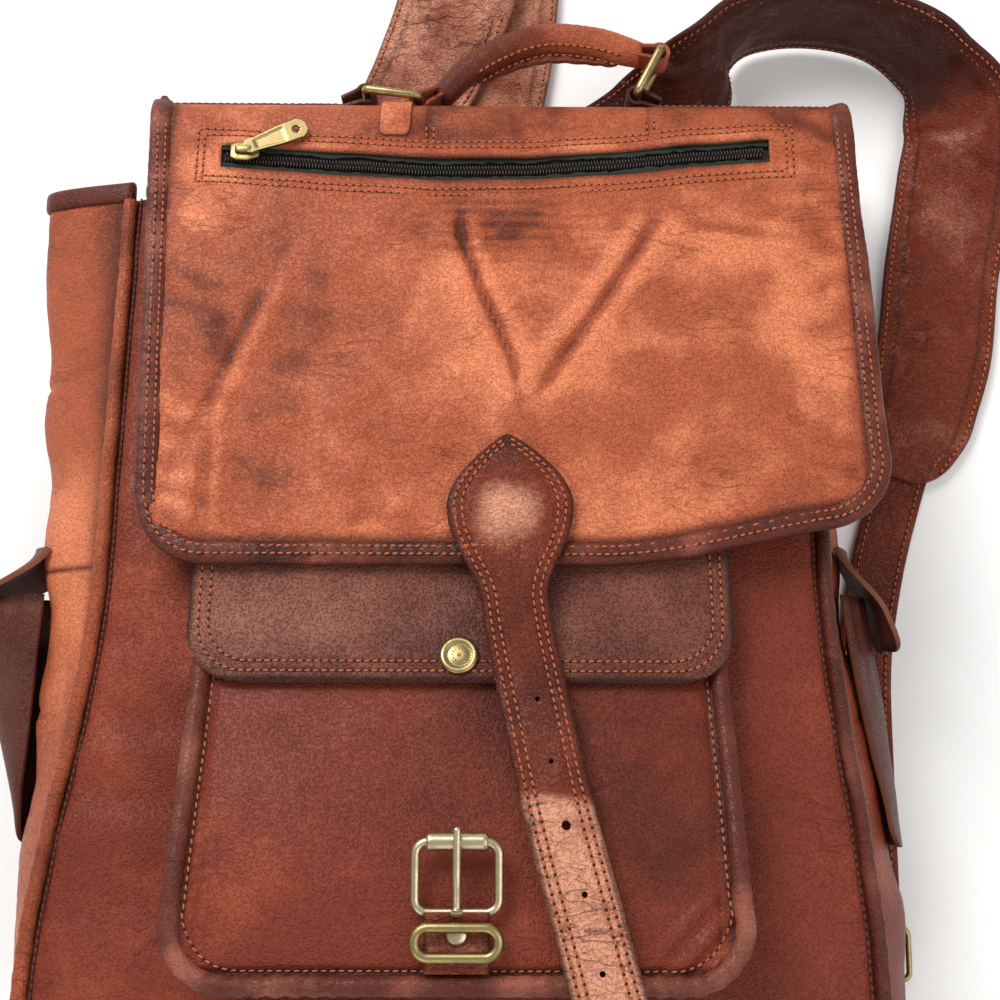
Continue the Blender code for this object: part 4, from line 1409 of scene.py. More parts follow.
    def thread(self) -> None:
        """Rows of thread in the binding, round the zip and down the two darts."""
        rows = []
        for inset, lift in ((0.0072, 0.0006), (0.004, 0.0011)):
            line = [p for p in self.outline(inset) if p.y < 0.188]
            rows.append(Seams.on(line, lambda p, lift=lift: BAG.flap_z(p.y) + lift))
        for gap in (0.0046, 0.0074):
            left, right = self.slot_left - 0.0028 - gap, self.slot_right + 0.0028 + gap
            reach = self.slot_half + gap
            low = [vec3(between(left, right, k / 60), 0, 0) for k in range(61)]
            line = [vec3(p.x, self.slot_y(p.x) - reach, 0) for p in low]
            line += [vec3(p.x, min(0.1895, self.slot_y(p.x) + reach), 0) for p in reversed(low)]
            line.append(line[0])
            rows.append(Seams.on(line, self.surface))
        for seam in (-0.0307, 0.0655):
            for x in (seam - 0.0016, seam + 0.0016):
                line = [vec3(x, y, 0) for y in (self.slot_y(x) + 0.0135, 0.1895)]
                rows.append(Seams.on(line, self.surface))
        Maker.sew("flap_thread", rows, Body.FLAP)

    def small_tab(self) -> None:
        """A short tab sewn over the fold, below the handle's left ring."""

        def shape(u: float, v: float) -> Vector:
            """A point of the tab's face."""
            y, z = self.height(between(0.1835, 0.204, v))
            half = 0.0066 - corner_inset((v + 0.01) * 0.0205, 0.0035)
            x = between(-0.0462 - half, -0.0462 + half, u) + 0.0012 * v
            return vec3(x, y + 0.0016 * smooth((v - 0.5) * 3), z + 0.0019 * (1 - smooth((v - 0.6) * 3)))

        obj = Maker.sheet("small_tab", shape, 12, 30, Finish.TAN, 0.0018, rim=Finish.SUEDE)
        Maker.paint(obj, lambda p: 0.62 + 0.25 * grain(p, 90, 1.0), 0.05)
        self.bend(obj, Finish.TAN)

    def lining(self) -> None:
        """The cloth under the flap."""

        def shape(u: float, v: float) -> Vector:
            """A point of the lining."""
            share = 1 - v
            left, right = self.side(share, 0.015)
            x = between(left, right, u)
            y = between(self.end(x) + 0.015, 0.19, v ** 1.3)
            draw = corner_inset(y - self.end(x) - 0.015, 0.018)
            x = between(left + draw, right - draw, u)
            return vec3(x, y, BAG.flap_z(y) - 0.0063 + 0.0003 * grain(vec3(x, y, 0), 30))

        obj = Maker.sheet("flap_cloth", shape, 60, 50, Finish.CANVAS, 0.001)
        Maker.place(obj, Body.FLAP, Finish.CANVAS, ["flap_lining"])


@dataclass
class ZipFitting:
    """Tape, coil, slider and pull of the flap's zip."""

    flap: MainFlap
    pitch: float = 0.00135
    slider_x: float = -0.11
    slider_y: float = 0.1745

    def build(self) -> None:
        """Makes the zip."""
        self.tape()
        self.coil()
        self.slider()
        self.puller()

    def level(self, x: float, y: float) -> float:
        """Height of the tape's face."""
        return BAG.flap_z(y) - 0.0024 + 0.0004 * grain(vec3(x, y, 0), 60, 2.0)

    def tape(self) -> None:
        """Both tapes and the frayed cloth edges that stand in the slot."""
        left, right = self.flap.slot_left - 0.004, self.flap.slot_right + 0.004

        def shape(u: float, v: float) -> Vector:
            """A point of the tape."""
            x = between(left, right, u)
            y = self.flap.slot_y(x) + between(-0.0105, 0.0105, v)
            return vec3(x, y, self.level(x, y) - 0.0003)

        obj = Maker.sheet("zip_cloth", shape, 120, 12, Finish.TAPE, 0.0007, soften=0.0)
        Maker.place(obj, Body.FLAP, Finish.TAPE, ["zip_tape"])
        for side, name in ((-1, "lower"), (1, "upper")):

            def fray(u: float, v: float, side: int = side) -> Vector:
                """A point of the cloth edge, ragged toward the coil."""
                x = between(left + 0.004, right - 0.004, u)
                rag = 0.0009 * grain(vec3(x, side, 0), 420, 1.0) + 0.0008 * grain(vec3(x, side, 0), 70, 2.0)
                y = self.flap.slot_y(x) + side * between(0.0062, 0.0034 + rag, v)
                return vec3(x, y, self.level(x, y) + 0.0006 + 0.0008 * v)

            edge = Maker.sheet(f"{name}_fray", fray, 240, 3, Finish.CANVAS, 0.0005, offset=0.0, soften=0.0)
            Maker.place(edge, Body.FLAP, Finish.CANVAS)

    def coil(self) -> None:
        """The nylon coil: one low ridge for each turn, in two rows that mesh."""
        spots = []
        count = int((self.flap.slot_right - self.flap.slot_left - 0.004) / self.pitch)
        for k in range(count):
            x = self.flap.slot_left + 0.002 + k * self.pitch
            for side in (-1, 1):
                at = x + (self.pitch / 2 if side > 0 else 0.0)
                y = self.flap.slot_y(at) + side * 0.00115
                place = vec3(at, y, self.level(at, y) + 0.0007)
                size = Matrix.Diagonal((self.pitch * 0.36, 0.00175, 0.00085, 1))
                turn = Matrix.Rotation(side * 0.2, 4, "Z")
                spots.append(Matrix.Translation(place) @ turn @ size)
        coil = Maker.from_bmesh("zip_coil", Maker.beads(spots), Finish.COIL)
        Maker.place(coil, Body.FLAP, Finish.COIL, ["zip_teeth"])

    def slider(self) -> None:
        """The slider's body with its bridge."""
        low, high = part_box("zip_slider")
        middle = (low + high) / 2
        outline = [(-0.0066, 0.003), (-0.004, 0.0042), (0.001, 0.0044), (0.006, 0.0026), (0.006, -0.0026),
                   (0.001, -0.0044), (-0.004, -0.0042), (-0.0066, -0.003)]
        work = bmesh.new()
        verts = [
            work.verts.new((middle.x + x, middle.y + y, middle.z - 0.0012 - y * 0.15)) for x, y in outline
        ]
        face = work.faces.new(verts)
        grown = bmesh.ops.extrude_face_region(work, geom=[face])
        top = [v for v in grown["geom"] if isinstance(v, bmesh.types.BMVert)]
        bmesh.ops.translate(work, verts=top, vec=(0, 0, 0.0022))
        bmesh.ops.recalc_face_normals(work, faces=work.faces)
        rims = [e for e in work.edges if e.calc_face_angle(0.0) > 0.6]
        bmesh.ops.bevel(work, geom=rims, offset=0.0005, segments=2, affect="EDGES", profile=0.5, material=-1)
        body = Maker.from_bmesh("slider_body", work, Finish.BRASS)
        Maker.place(body, Body.SLIDER, Finish.BRASS, ["zip_slider"])
        arch = [middle + vec3(x, 0, z) for x, z in ((-0.004, 0.0008), (-0.0038, 0.0024), (-0.002, 0.0031),
                                                       (0.0016, 0.0031), (0.0034, 0.0022), (0.0036, 0.0006))]
        bridge = Maker.tube("slider_bridge", smooth_line(arch, 18), Maker.flat_section(0.0013, 0.0005),
                            Finish.BRASS, 12)
        Maker.place(bridge, Body.SLIDER, Finish.BRASS)

    def puller(self) -> None:
        """A tapered pull with a round eye and a sunk panel."""
        low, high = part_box("zip_puller")
        turn = math.radians(25)
        ahead = vec3(math.cos(turn), math.sin(turn), 0)
        side = vec3(-math.sin(turn), math.cos(turn), 0)
        start = vec3(self.slider_x - 0.0002, self.slider_y, (low.z + high.z) / 2 + 0.0004)
        ahead = (ahead + vec3(0, 0, -0.15 * math.sin(turn) - 0.05)).normalized()
        length = 0.0292

        def half(t: float) -> float:
            """Half width along the pull."""
            if t < 0.1:
                return 0.0026 * math.sin(math.pi / 2 * t / 0.1) ** 0.5 + 0.0004
            if t > 0.86:
                return 0.0043 * math.cos(math.pi / 2 * (t - 0.86) / 0.14) ** 0.5 + 0.0002
            return between(0.003, 0.0043, smooth((t - 0.1) / 0.6))

        def shape(u: float, v: float) -> Vector:
            """A point of the pull's face."""
            across = (0.5 - u) * 2 * half(v)
            inside = smooth((half(v) - abs(across) - 0.0009) / 0.0004) * smooth((v - 0.16) / 0.04)
            inside *= smooth((0.66 - v) / 0.04)
            place = start + ahead * length * v + side * across
            return place + vec3(0, 0, 0.0007 - 0.00035 * inside)

        work = Maker.grid(shape, 18, 64)
        centre = start + ahead * length * 0.83
        hole = [f for f in work.faces if (f.calc_center_median() - centre).xy.length < 0.0017]
        bmesh.ops.delete(work, geom=hole, context="FACES")
        Maker.turn_faces(work, vec3(0, 0, 1))
        obj = Maker.from_bmesh("pull_tab", work, Finish.BRASS)
        Maker.thicken(obj, 0.0014, -1.0, soften=0.0003)
        Maker.place(obj, Body.PULLER, Finish.BRASS, ["zip_puller"])


# Closing strap


@dataclass
class ClosingStrap:
    """The spade-shaped leaf on the flap and the strap that runs on from it, in one hide."""

    half: float = 0.0131
    thick: float = 0.0031
    tip: float = 0.0455
    rows: int = 210
    columns: int = 22

    def knots(self) -> list[Vector]:
        """Centre of the upper face from the strap's end to the leaf's tip."""
        near = BAG.flap_z(-0.008)
        line = [
            vec3(0.049, -0.206, 0.1266), vec3(0.0445, -0.188, 0.1326), vec3(0.0385, -0.165, 0.1341),
            vec3(0.0305, -0.135, 0.1306), vec3(0.0215, -0.1, 0.1231), vec3(0.013, -0.06, 0.1121),
            vec3(0.007, -0.03, near + 0.0084), vec3(0.005, -0.009, near + 0.0062),
        ]
        return line + [vec3(x, y, BAG.flap_z(y) + 0.0049) for x, y in
                       ((0.0045, 0.004), (0.004, 0.018), (0.0035, 0.032), (0.003, self.tip))]

    def half_at(self, y: float) -> float:
        """Half width at a place along the strap."""
        if y > 0.0145:
            t = (self.tip - y) / (self.tip - 0.0145)
            return 0.0249 * math.sin(math.pi / 2 * max(0.0, t)) ** 0.86 + 0.0003
        if y > -0.022:
            return between(0.0249, self.half, smooth((0.0145 - y) / 0.0365) ** 1.15)
        return self.half - corner_inset(y + 0.2065, 0.009) * 0.9

    def build(self) -> None:
        """Makes the leather with its holes, and its thread."""
        line = smooth_line(self.knots(), self.rows + 1)
        frames = Maker.turns(line, vec3(0, 0, 1))

        def shape(u: float, v: float) -> Vector:
            """A point of the upper face."""
            i = round(v * self.rows)
            half = self.half_at(line[i].y)
            across = (u - 0.5) * 2 * half
            inner = half - abs(across)
            side, up = frames[i]
            lift = -0.0009 * bump(inner, 0.0011) - 0.00045 * bump(inner - 0.003, 0.0007)
            lift += -0.00045 * bump(inner - 0.006, 0.0007) + 0.0005 * grain(line[i] + side * across, 70, 4.0)
            lift += 0.0012 * grain(vec3(0, line[i].y, 0), 22, 2.0) * smooth((-0.02 - line[i].y) / 0.04)
            return line[i] + side * across + up * lift

        work = Maker.grid(shape, self.columns, self.rows)
        self.punch(work)
        Maker.turn_faces(work, vec3(0, 0, 1))
        obj = Maker.from_bmesh("strap_and_leaf", work, Finish.STRAP)

        def tone(place: Vector) -> float:
            """Painted highlights on the leaf's centre and low on the strap, with a rubbed mark at the hole in
            use.
            """
            # Painted highlights: a sheen on the leaf's centre and another low on the strap.
            leaf_highlight = 0.66 * bump(place.y - 0.013, 0.017) * bump(place.x - 0.003, 0.016)
            low = 0.6 * smooth((-0.085 - place.y) / 0.035)
            mark = 0.25 * bump(place.y + 0.1, 0.005)
            return 0.32 + leaf_highlight + low + mark + 0.2 * grain(place, 60, 5.0)

        def edge(place: Vector) -> float:
            """Burnished cut edges."""
            centre = min(line, key=lambda p: abs(p.y - place.y))
            inner = self.half_at(place.y) - abs(place.x - centre.x)
            return 0.85 * bump(inner, 0.0012) + 0.3 * bump(inner - 0.003, 0.0009)

        Maker.paint(obj, tone, edge)
        Maker.thicken(obj, self.thick, -1.0, Finish.SUEDE, 0.0005)
        Maker.apply(obj)
        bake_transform(obj)
        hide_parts("strap_leaf", "closing_strap")
        LOG.info("strap_and_leaf bends between flap and closing_strap")
        self.thread(line, frames)

    def punch(self, work: bmesh.types.BMesh) -> None:
        """Opens the five holes by rounding the faces about a vertex."""
        work.verts.ensure_lookup_table()
        for x, y, radius in ((0.0137, -0.06, 0.0011), (0.0186, -0.083, 0.0011), (0.0241, -0.107, 0.0019),
                             (0.0302, -0.131, 0.0012), (0.036, -0.156, 0.0012)):
            hub = min(work.verts, key=lambda v: (v.co.x - x) ** 2 + (v.co.y - y) ** 2)
            centre = hub.co.copy()
            ring = {v for f in hub.link_faces for v in f.verts} - {hub}
            for vert in ring:
                away = vert.co - centre
                vert.co = centre + away.normalized() * radius
            bmesh.ops.delete(work, geom=[hub], context="VERTS")

    def thread(self, line: list[Vector], frames: list[tuple[Vector, Vector]]) -> None:
        """Two rows near each edge, and two across the join."""
        leaf_rows, strap_rows = [], []
        for inset in (0.003, 0.006):
            for hand in (-1, 1):
                chain = []
                for i, place in enumerate(line):
                    half = self.half_at(place.y) - inset
                    if half > 0.0 and place.y > -0.2:
                        chain.append(
                            (place + frames[i][0] * hand * half + frames[i][1] * -0.0003, frames[i][1])
                        )
                places = [p for p, _ in chain]
                for place in resample(places, Seams.PITCH):
                    near = min(chain, key=lambda item: (item[0] - place).length_squared)
                    (leaf_rows if place.y > -0.0065 else strap_rows).append((place, near[1], hand, inset))
        for name, found, body in (("leaf_thread", leaf_rows, Body.FLAP),
                                  ("strap_thread", strap_rows, Body.CLOSING_STRAP)):
            rows = []
            for inset in (0.003, 0.006):
                for hand in (-1, 1):
                    rows.append([(p, n) for p, n, h, w in found if h == hand and w == inset])
            if body is Body.FLAP:
                for y in (-0.001, -0.0038):
                    half = self.half_at(y) - 0.0035
                    across = [vec3(0.0046 - half, y, 0), vec3(0.0046 + half, y, 0)]
                    rows.append(Seams.on(across, lambda p: BAG.flap_z(p.y) + 0.0047))
            Maker.sew(name, rows, body)


# Front pocket


@dataclass
class FrontPocket:
    """The pocket with its rolled rim, its flap and its snap."""

    x: float = -0.015
    half: float = 0.104
    bottom: float = -0.166
    top: float = -0.001
    radius: float = 0.022
    rim: float = 0.0038
    hinge: float = 0.009
    flap_end: float = -0.054

    def depth(self, y: float) -> float:
        """How far the pocket's face stands off the front."""
        return between(0.0078, 0.03, smooth((self.top - y) / 0.15))

    def face_z(self, y: float) -> float:
        """Height of the pocket's face."""
        return BAG.front_z(y) + self.depth(y)

    def flap_z(self, y: float) -> float:
        """Height of the pocket flap's upper face."""
        low, high = BAG.front_z(y) + 0.0033, self.face_z(y) + self.rim + 0.0025
        return between(low, high, smooth((self.hinge - y) / 0.008))

    def outline(self, inset: float, pitch: float = 0.002) -> list[Vector]:
        """The sides and bottom as one line in plan, from mouth to mouth."""
        corner = self.radius
        low = self.bottom + inset
        line = []
        for k in range(41):
            y = between(self.top, low + corner, k / 40)
            line.append(vec3(self.x - self.reach(y, inset), y, 0))
        wide = self.reach(low, inset)
        line += quarter(self.x - wide + corner, low + corner, corner, 180, 12)
        for k in range(1, 41):
            line.append(vec3(between(self.x - wide + corner, self.x + wide - corner, k / 40), low, 0))
        line += quarter(self.x + wide - corner, low + corner, corner, 270, 12)
        for k in range(1, 41):
            y = between(low + corner, self.top, k / 40)
            line.append(vec3(self.x + self.reach(y, inset), y, 0))
        return resample(line, pitch)

    def reach(self, y: float, inset: float) -> float:
        """Half width at a height."""
        share = (self.top - y) / (self.top - self.bottom)
        return between(self.half - 0.001, self.half + 0.004, share) - inset

    def build(self) -> None:
        """Makes the pocket."""
        self.face()
        self.roll()
        self.wall()
        self.flap()
        self.snap()

    def puff(self, place: Vector) -> float:
        """Relief of the face, which swells between its seams."""
        inset = min(place.x - self.x + self.half, self.half - place.x + self.x, place.y - self.bottom)
        value = 0.0012 * smooth(inset / 0.05) - 0.0016 * bump(inset - 0.0085, 0.0016)
        corner = bump(place.x - 0.078, 0.022) * bump(place.y + 0.15, 0.02)
        value += corner * 0.0014 * math.sin((place.x - place.y) * 520)
        value += 0.0009 * grain(place, 15, 1.0) + 0.0004 * grain(place, 48, 2.0)
        return value - 0.0006

    def face(self) -> None:
        """The pocket's front leather."""
        inset = 2 * self.rim - 0.0012

        def shape(u: float, v: float) -> Vector:
            """A point of the face."""
            low = self.bottom + inset
            y = between(low, self.top - 0.0006, v ** 1.3)
            reach = self.reach(y, inset) - corner_inset(y - low, self.radius - 0.004)
            x = self.x + (u - 0.5) * 2 * reach
            return vec3(x, y, self.face_z(y) + self.puff(vec3(x, y, 0)))

        def tone(place: Vector) -> float:
            """Darker low down, with a pale sheen patch at the left."""
            value = 0.46 + 0.2 * bump(place.x + 0.095, 0.03) * bump(place.y + 0.13, 0.03)
            value -= 0.18 * bump(place.x - 0.03, 0.06) * bump(place.y + 0.085, 0.03)
            return value + 0.2 * grain(place, 18, 8.0)

        def edge(place: Vector) -> float:
            """Burnish at the rim's seam."""
            inset = min(place.x - self.x + self.reach(place.y, 0), self.reach(place.y, 0) - place.x + self.x,
                        place.y - self.bottom)
            return 0.8 * bump(inset - 0.008, 0.0022)

        obj = Maker.sheet("pocket_face", shape, 110, 90, Finish.RED, 0.002)
        Maker.dress(obj, Body.BAG, Finish.RED, ["pocket_panel"], tone, edge)

    def roll(self) -> None:
        """The rolled rim and the thread inside it."""
        line = [vec3(p.x, p.y, self.face_z(p.y) - 0.001) for p in self.outline(self.rim, 0.0016)]

        def section(v: float, a: float) -> tuple[float, float]:
            """A soft roll that puckers at the low corners."""
            low = bump(v - 0.37, 0.05) + bump(v - 0.64, 0.06)
            pucker = 1.0 + (0.03 + 0.09 * low) * math.sin(v * 2 * math.pi * 75)
            r = (self.rim - 0.0001) * pucker
            return r * math.cos(a) * 1.02, r * math.sin(a) * 0.96

        obj = Maker.tube("pocket_roll", line, section, Finish.BINDING, 18)
        Maker.dress(obj, Body.BAG, Finish.BINDING, ["pocket_rim"],
                    lambda p: 0.62 + 0.35 * grain(p, 45, 5.0), lambda p: 0.15 + 0.3 * grain(p, 80, 1.0))
        row = Seams.on(self.outline(2 * self.rim + 0.0012), lambda p: self.face_z(p.y) + self.puff(p), 0.0002)
        Maker.place(Maker.stitches("pocket_thread", [row]), Body.BAG, Finish.THREAD)

    def wall(self) -> None:
        """The wall that stands the pocket off the front, pleated at its low corners."""
        line = self.outline(self.rim + 0.0006, 0.0024)
        last = len(line) - 1

        def shape(u: float, v: float) -> Vector:
            """A point of the wall."""
            i = round(v * last)
            place = line[i]
            low = BAG.front_z(place.y) + 0.0002
            high = self.face_z(place.y) - 0.001 - self.rim + 0.0006
            ahead = line[min(i + 1, last)] - line[max(i - 1, 0)]
            out = vec3(ahead.y, -ahead.x, 0).normalized()
            corner = bump(v - 0.36, 0.06) + bump(v - 0.64, 0.06)
            fold = (0.0004 + 0.0011 * corner) * math.sin(i * 1.3) * math.sin(math.pi * u)
            return place - out * (fold + 0.0004) + vec3(0, 0, between(low, high, u))

        obj = Maker.sheet("pocket_side", shape, 8, last, Finish.RED, 0.002, offset=0.0)
        Maker.dress(obj, Body.BAG, Finish.RED, ["pocket_wall"], lambda p: 0.4 + 0.2 * grain(p, 30, 4.0), 0.3)

    def flap_point(self, u: float, v: float) -> Vector:
        """A point of the pocket flap: v from its lower edge (0) to its hinge (1)."""
        y = between(self.flap_end, self.hinge, 1 - (1 - v ** 1.35) ** 1.1)
        draw = corner_inset(y - self.flap_end, 0.021)
        x = self.x + (u - 0.5) * 2 * (0.1065 - draw)
        place = vec3(x, y, 0)
        rim = min(0.1065 - draw - abs(x - self.x), y - self.flap_end)
        lift = -0.001 * bump(rim, 0.0016) - 0.0004 * (bump(rim - 0.0042, 0.0008) + bump(rim - 0.008, 0.0008))
        lift += (0.0009 * grain(place, 20, 4.0) + 0.0003 * grain(place, 70, 2.0)) * smooth(rim / 0.01)
        return vec3(x, y, self.flap_z(y) + lift)

    def flap(self) -> None:
        """The pocket's flap with two rows of thread."""
        obj = Maker.sheet("pocket_flap_hide", self.flap_point, 130, 50, Finish.DARK, 0.0026, rim=Finish.SUEDE)

        def tone(place: Vector) -> float:
            """Pale with wear along the middle."""
            return 0.56 + 0.22 * bump(place.y + 0.03, 0.02) + 0.2 * grain(place, 24, 6.0)

        def edge(place: Vector) -> float:
            """Burnished edge."""
            rim = min(0.1065 - abs(place.x - self.x), place.y - self.flap_end)
            return max(0.9 * bump(rim, 0.0022), 0.35 * bump(rim - 0.0042, 0.001))

        Maker.dress(obj, Body.POCKET_FLAP, Finish.DARK, ["pocket_flap"], tone, edge)
        rows = []
        for inset in (0.0042, 0.008):
            corner = 0.021 - inset * 0.6
            half, low = 0.1065 - inset, self.flap_end + inset
            line = [vec3(self.x - half, 0.004, 0), vec3(self.x - half, low + corner, 0)]
            line += quarter(self.x - half + corner, low + corner, corner, 180, 10)
            line.append(vec3(self.x + half - corner, low, 0))
            line += quarter(self.x + half - corner, low + corner, corner, 270, 10)
            line.append(vec3(self.x + half, 0.004, 0))
            rows.append(Seams.on(line, lambda p: self.flap_z(p.y), -0.0002))
        Maker.sew("pocket_flap_thread", rows, Body.POCKET_FLAP)

    def snap(self) -> None:
        """The snap's cap: a domed rim round a dished field with a beaded ring."""
        low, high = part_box("snap_cap")
        centre = (low + high) / 2
        fall = (self.flap_z(centre.y + 0.004) - self.flap_z(centre.y - 0.004)) / 0.008
        normal = vec3(0, -fall, 1).normalized()
        base = centre - normal * 0.0009
        profile = [(0.0, 0.0015), (0.002, 0.0016), (0.0036, 0.00135), (0.0042, 0.0011), (0.0047, 0.00112),
                   (0.0054, 0.00165), (0.0062, 0.00185), (0.007, 0.00165), (0.0075, 0.001), (0.0076, 0.0002),
                   (0.0072, 0.0), (0.0, 0.0)]
        cap = Maker.disc("snap_button", base, normal, profile, Finish.BRASS, 48)
        Maker.place(cap, Body.POCKET_FLAP, Finish.BRASS, ["snap_cap"])
        spots = []
        turn = normal.to_track_quat("Z", "Y").to_matrix().to_4x4()
        for ring, count, size in ((0.0045, 26, 0.00034), (0.0024, 12, 0.0004), (0.0, 1, 0.0008)):
            for k in range(count):
                a = 2 * math.pi * k / count
                at = vec3(ring * math.cos(a), ring * math.sin(a), 0.0015 if ring < 0.003 else 0.00115)
                spots.append(Matrix.Translation(base) @ turn @ Matrix.Translation(at) @ Matrix.Scale(size, 4))
        Maker.place(
            Maker.from_bmesh("snap_beads", Maker.beads(spots), Finish.BRASS), Body.POCKET_FLAP, Finish.BRASS
        )


# Buckle


@dataclass
class BuckleSet:
    """The roller buckle, its chape and the keeper ring."""

    pocket: FrontPocket
    x: float = -0.015
    y: float = -0.112
    length: float = 0.0245

    def loop(self, name: str, half: float, low: float, high: float, z: float, corner: float, rod: float,
             body: Body, finish: Finish, node: str) -> None:
        """A closed rounded rectangle of rod."""
        middle = vec3(self.x, (low + high) / 2, z)
        line = [middle + p for p in rounded(2 * half, high - low, corner, 7)]
        obj = Maker.tube(name, line, Maker.round_section(rod), finish, 14, closed=True)
        Maker.place(obj, body, finish, [node])

    def build(self) -> None:
        """Makes the buckle."""
        z = self.pocket.face_z(-0.125) + 0.008
        bar = self.y - self.length
        self.loop("buckle_loop", 0.015, bar, self.y, z, 0.0045, 0.0017, Body.BUCKLE, Finish.PALE_BRASS,
                  "buckle_frame")
        low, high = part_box("keeper_ring")
        rod = (high.z - low.z) / 2
        self.loop("keeper_loop", (high.x - low.x) / 2 - rod, low.y + rod, high.y - rod, (low.z + high.z) / 2,
                  0.005, rod, Body.KEEPER, Finish.BRASS, "keeper_ring")
        ends = [vec3(self.x + side * 0.011, self.y, z) for side in (-1, 1)]
        line = [ends[0].lerp(ends[1], k / 24) for k in range(25)]

        def barrel(v: float, a: float) -> tuple[float, float]:
            """A tube with rolled ends and a seam."""
            r = 0.0034 - 0.0004 * bump(min(v, 1 - v), 0.02) - 0.0002 * bump(a - 4.4, 0.12)
            return r * math.cos(a), r * math.sin(a)

        roller = Maker.tube("roller_tube", line, barrel, Finish.PALE_BRASS, 28)
        Maker.place(roller, Body.ROLLER, Finish.PALE_BRASS, ["buckle_roller"])
        self.tongue(z, bar)
        self.chape(bar)

    def tongue(self, z: float, bar: float) -> None:
        """The prong, with a ball near the bar and a flattened tip."""
        path = [vec3(self.x, bar + 0.0008, z + 0.0021), vec3(self.x, bar + 0.004, z + 0.0026),
                vec3(self.x, bar + 0.014, z + 0.0049), vec3(self.x, self.y - 0.002, z + 0.0055),
                vec3(self.x, self.y + 0.0056, z + 0.005)]

        def section(v: float, a: float) -> tuple[float, float]:
            """Rod that swells to a ball at its root."""
            r = 0.00135 + 0.0008 * bump(v - 0.05, 0.045) + 0.0002 * math.sin(v * math.pi)
            r *= math.sqrt(max(0.02, 1 - bump(min(v, 1 - v), 0.012)))
            return r * math.cos(a), r * math.sin(a)

        obj = Maker.tube("prong", smooth_line(path, 50), section, Finish.PALE_BRASS, 14)
        Maker.place(obj, Body.TONGUE, Finish.PALE_BRASS, ["buckle_tongue"])

    def chape(self, bar: float) -> None:
        """The leather that holds the buckle, folded round its bar and riveted."""
        pocket = self.pocket

        def shape(u: float, v: float) -> Vector:
            """A point of the upper face, from the pocket's seam up to the bar and over it."""
            y = between(-0.1575, bar + 0.0002, v)
            x = self.x + (u - 0.5) * 0.0235
            near = smooth((y - (bar - 0.01)) / 0.01)
            z = between(pocket.face_z(y) + 0.0036, pocket.face_z(-0.125) + 0.008 + 0.0026, near)
            edge = 0.01175 - abs(x - self.x)
            fold = 0.001 * bump(y + 0.1495, 0.002) - 0.0008 * bump(y + 0.146, 0.0012)
            return vec3(
                x, y, z + fold - 0.0006 * bump(edge, 0.0014) + 0.0003 * grain(vec3(x, y, 0), 120, 3.0)
            )

        work = Maker.grid(shape, 22, 26)
        middles = ((face, face.calc_center_median()) for face in work.faces)
        slot = [face for face, mid in middles if abs(mid.x - self.x) < 0.0022 and mid.y > bar - 0.005]
        bmesh.ops.delete(work, geom=slot, context="FACES")
        obj = Maker.from_bmesh("chape_hide", work, Finish.STRAP)
        Maker.paint(obj, lambda p: 0.52 + 0.2 * grain(p, 90, 2.0),
                    lambda p: 0.7 * bump(0.01175 - abs(p.x - self.x), 0.0012))
        Maker.thicken(obj, 0.0022, -1.0, Finish.SUEDE)
        Maker.place(obj, Body.BAG, Finish.STRAP, ["buckle_chape"])
        low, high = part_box("chape_rivet")
        middle = (low + high) / 2
        normal = vec3(0, 0.18, 1).normalized()
        profile = [(0.0, 0.0013), (0.0022, 0.0012), (0.0034, 0.0008),
                   (0.004, 0.0001), (0.0038, -0.0006), (0.0, -0.0006)]
        rivet = Maker.disc("rivet_cap", middle, normal, profile, Finish.PALE_BRASS, 32)
        Maker.place(rivet, Body.BAG, Finish.PALE_BRASS, ["chape_rivet"])


# Handle


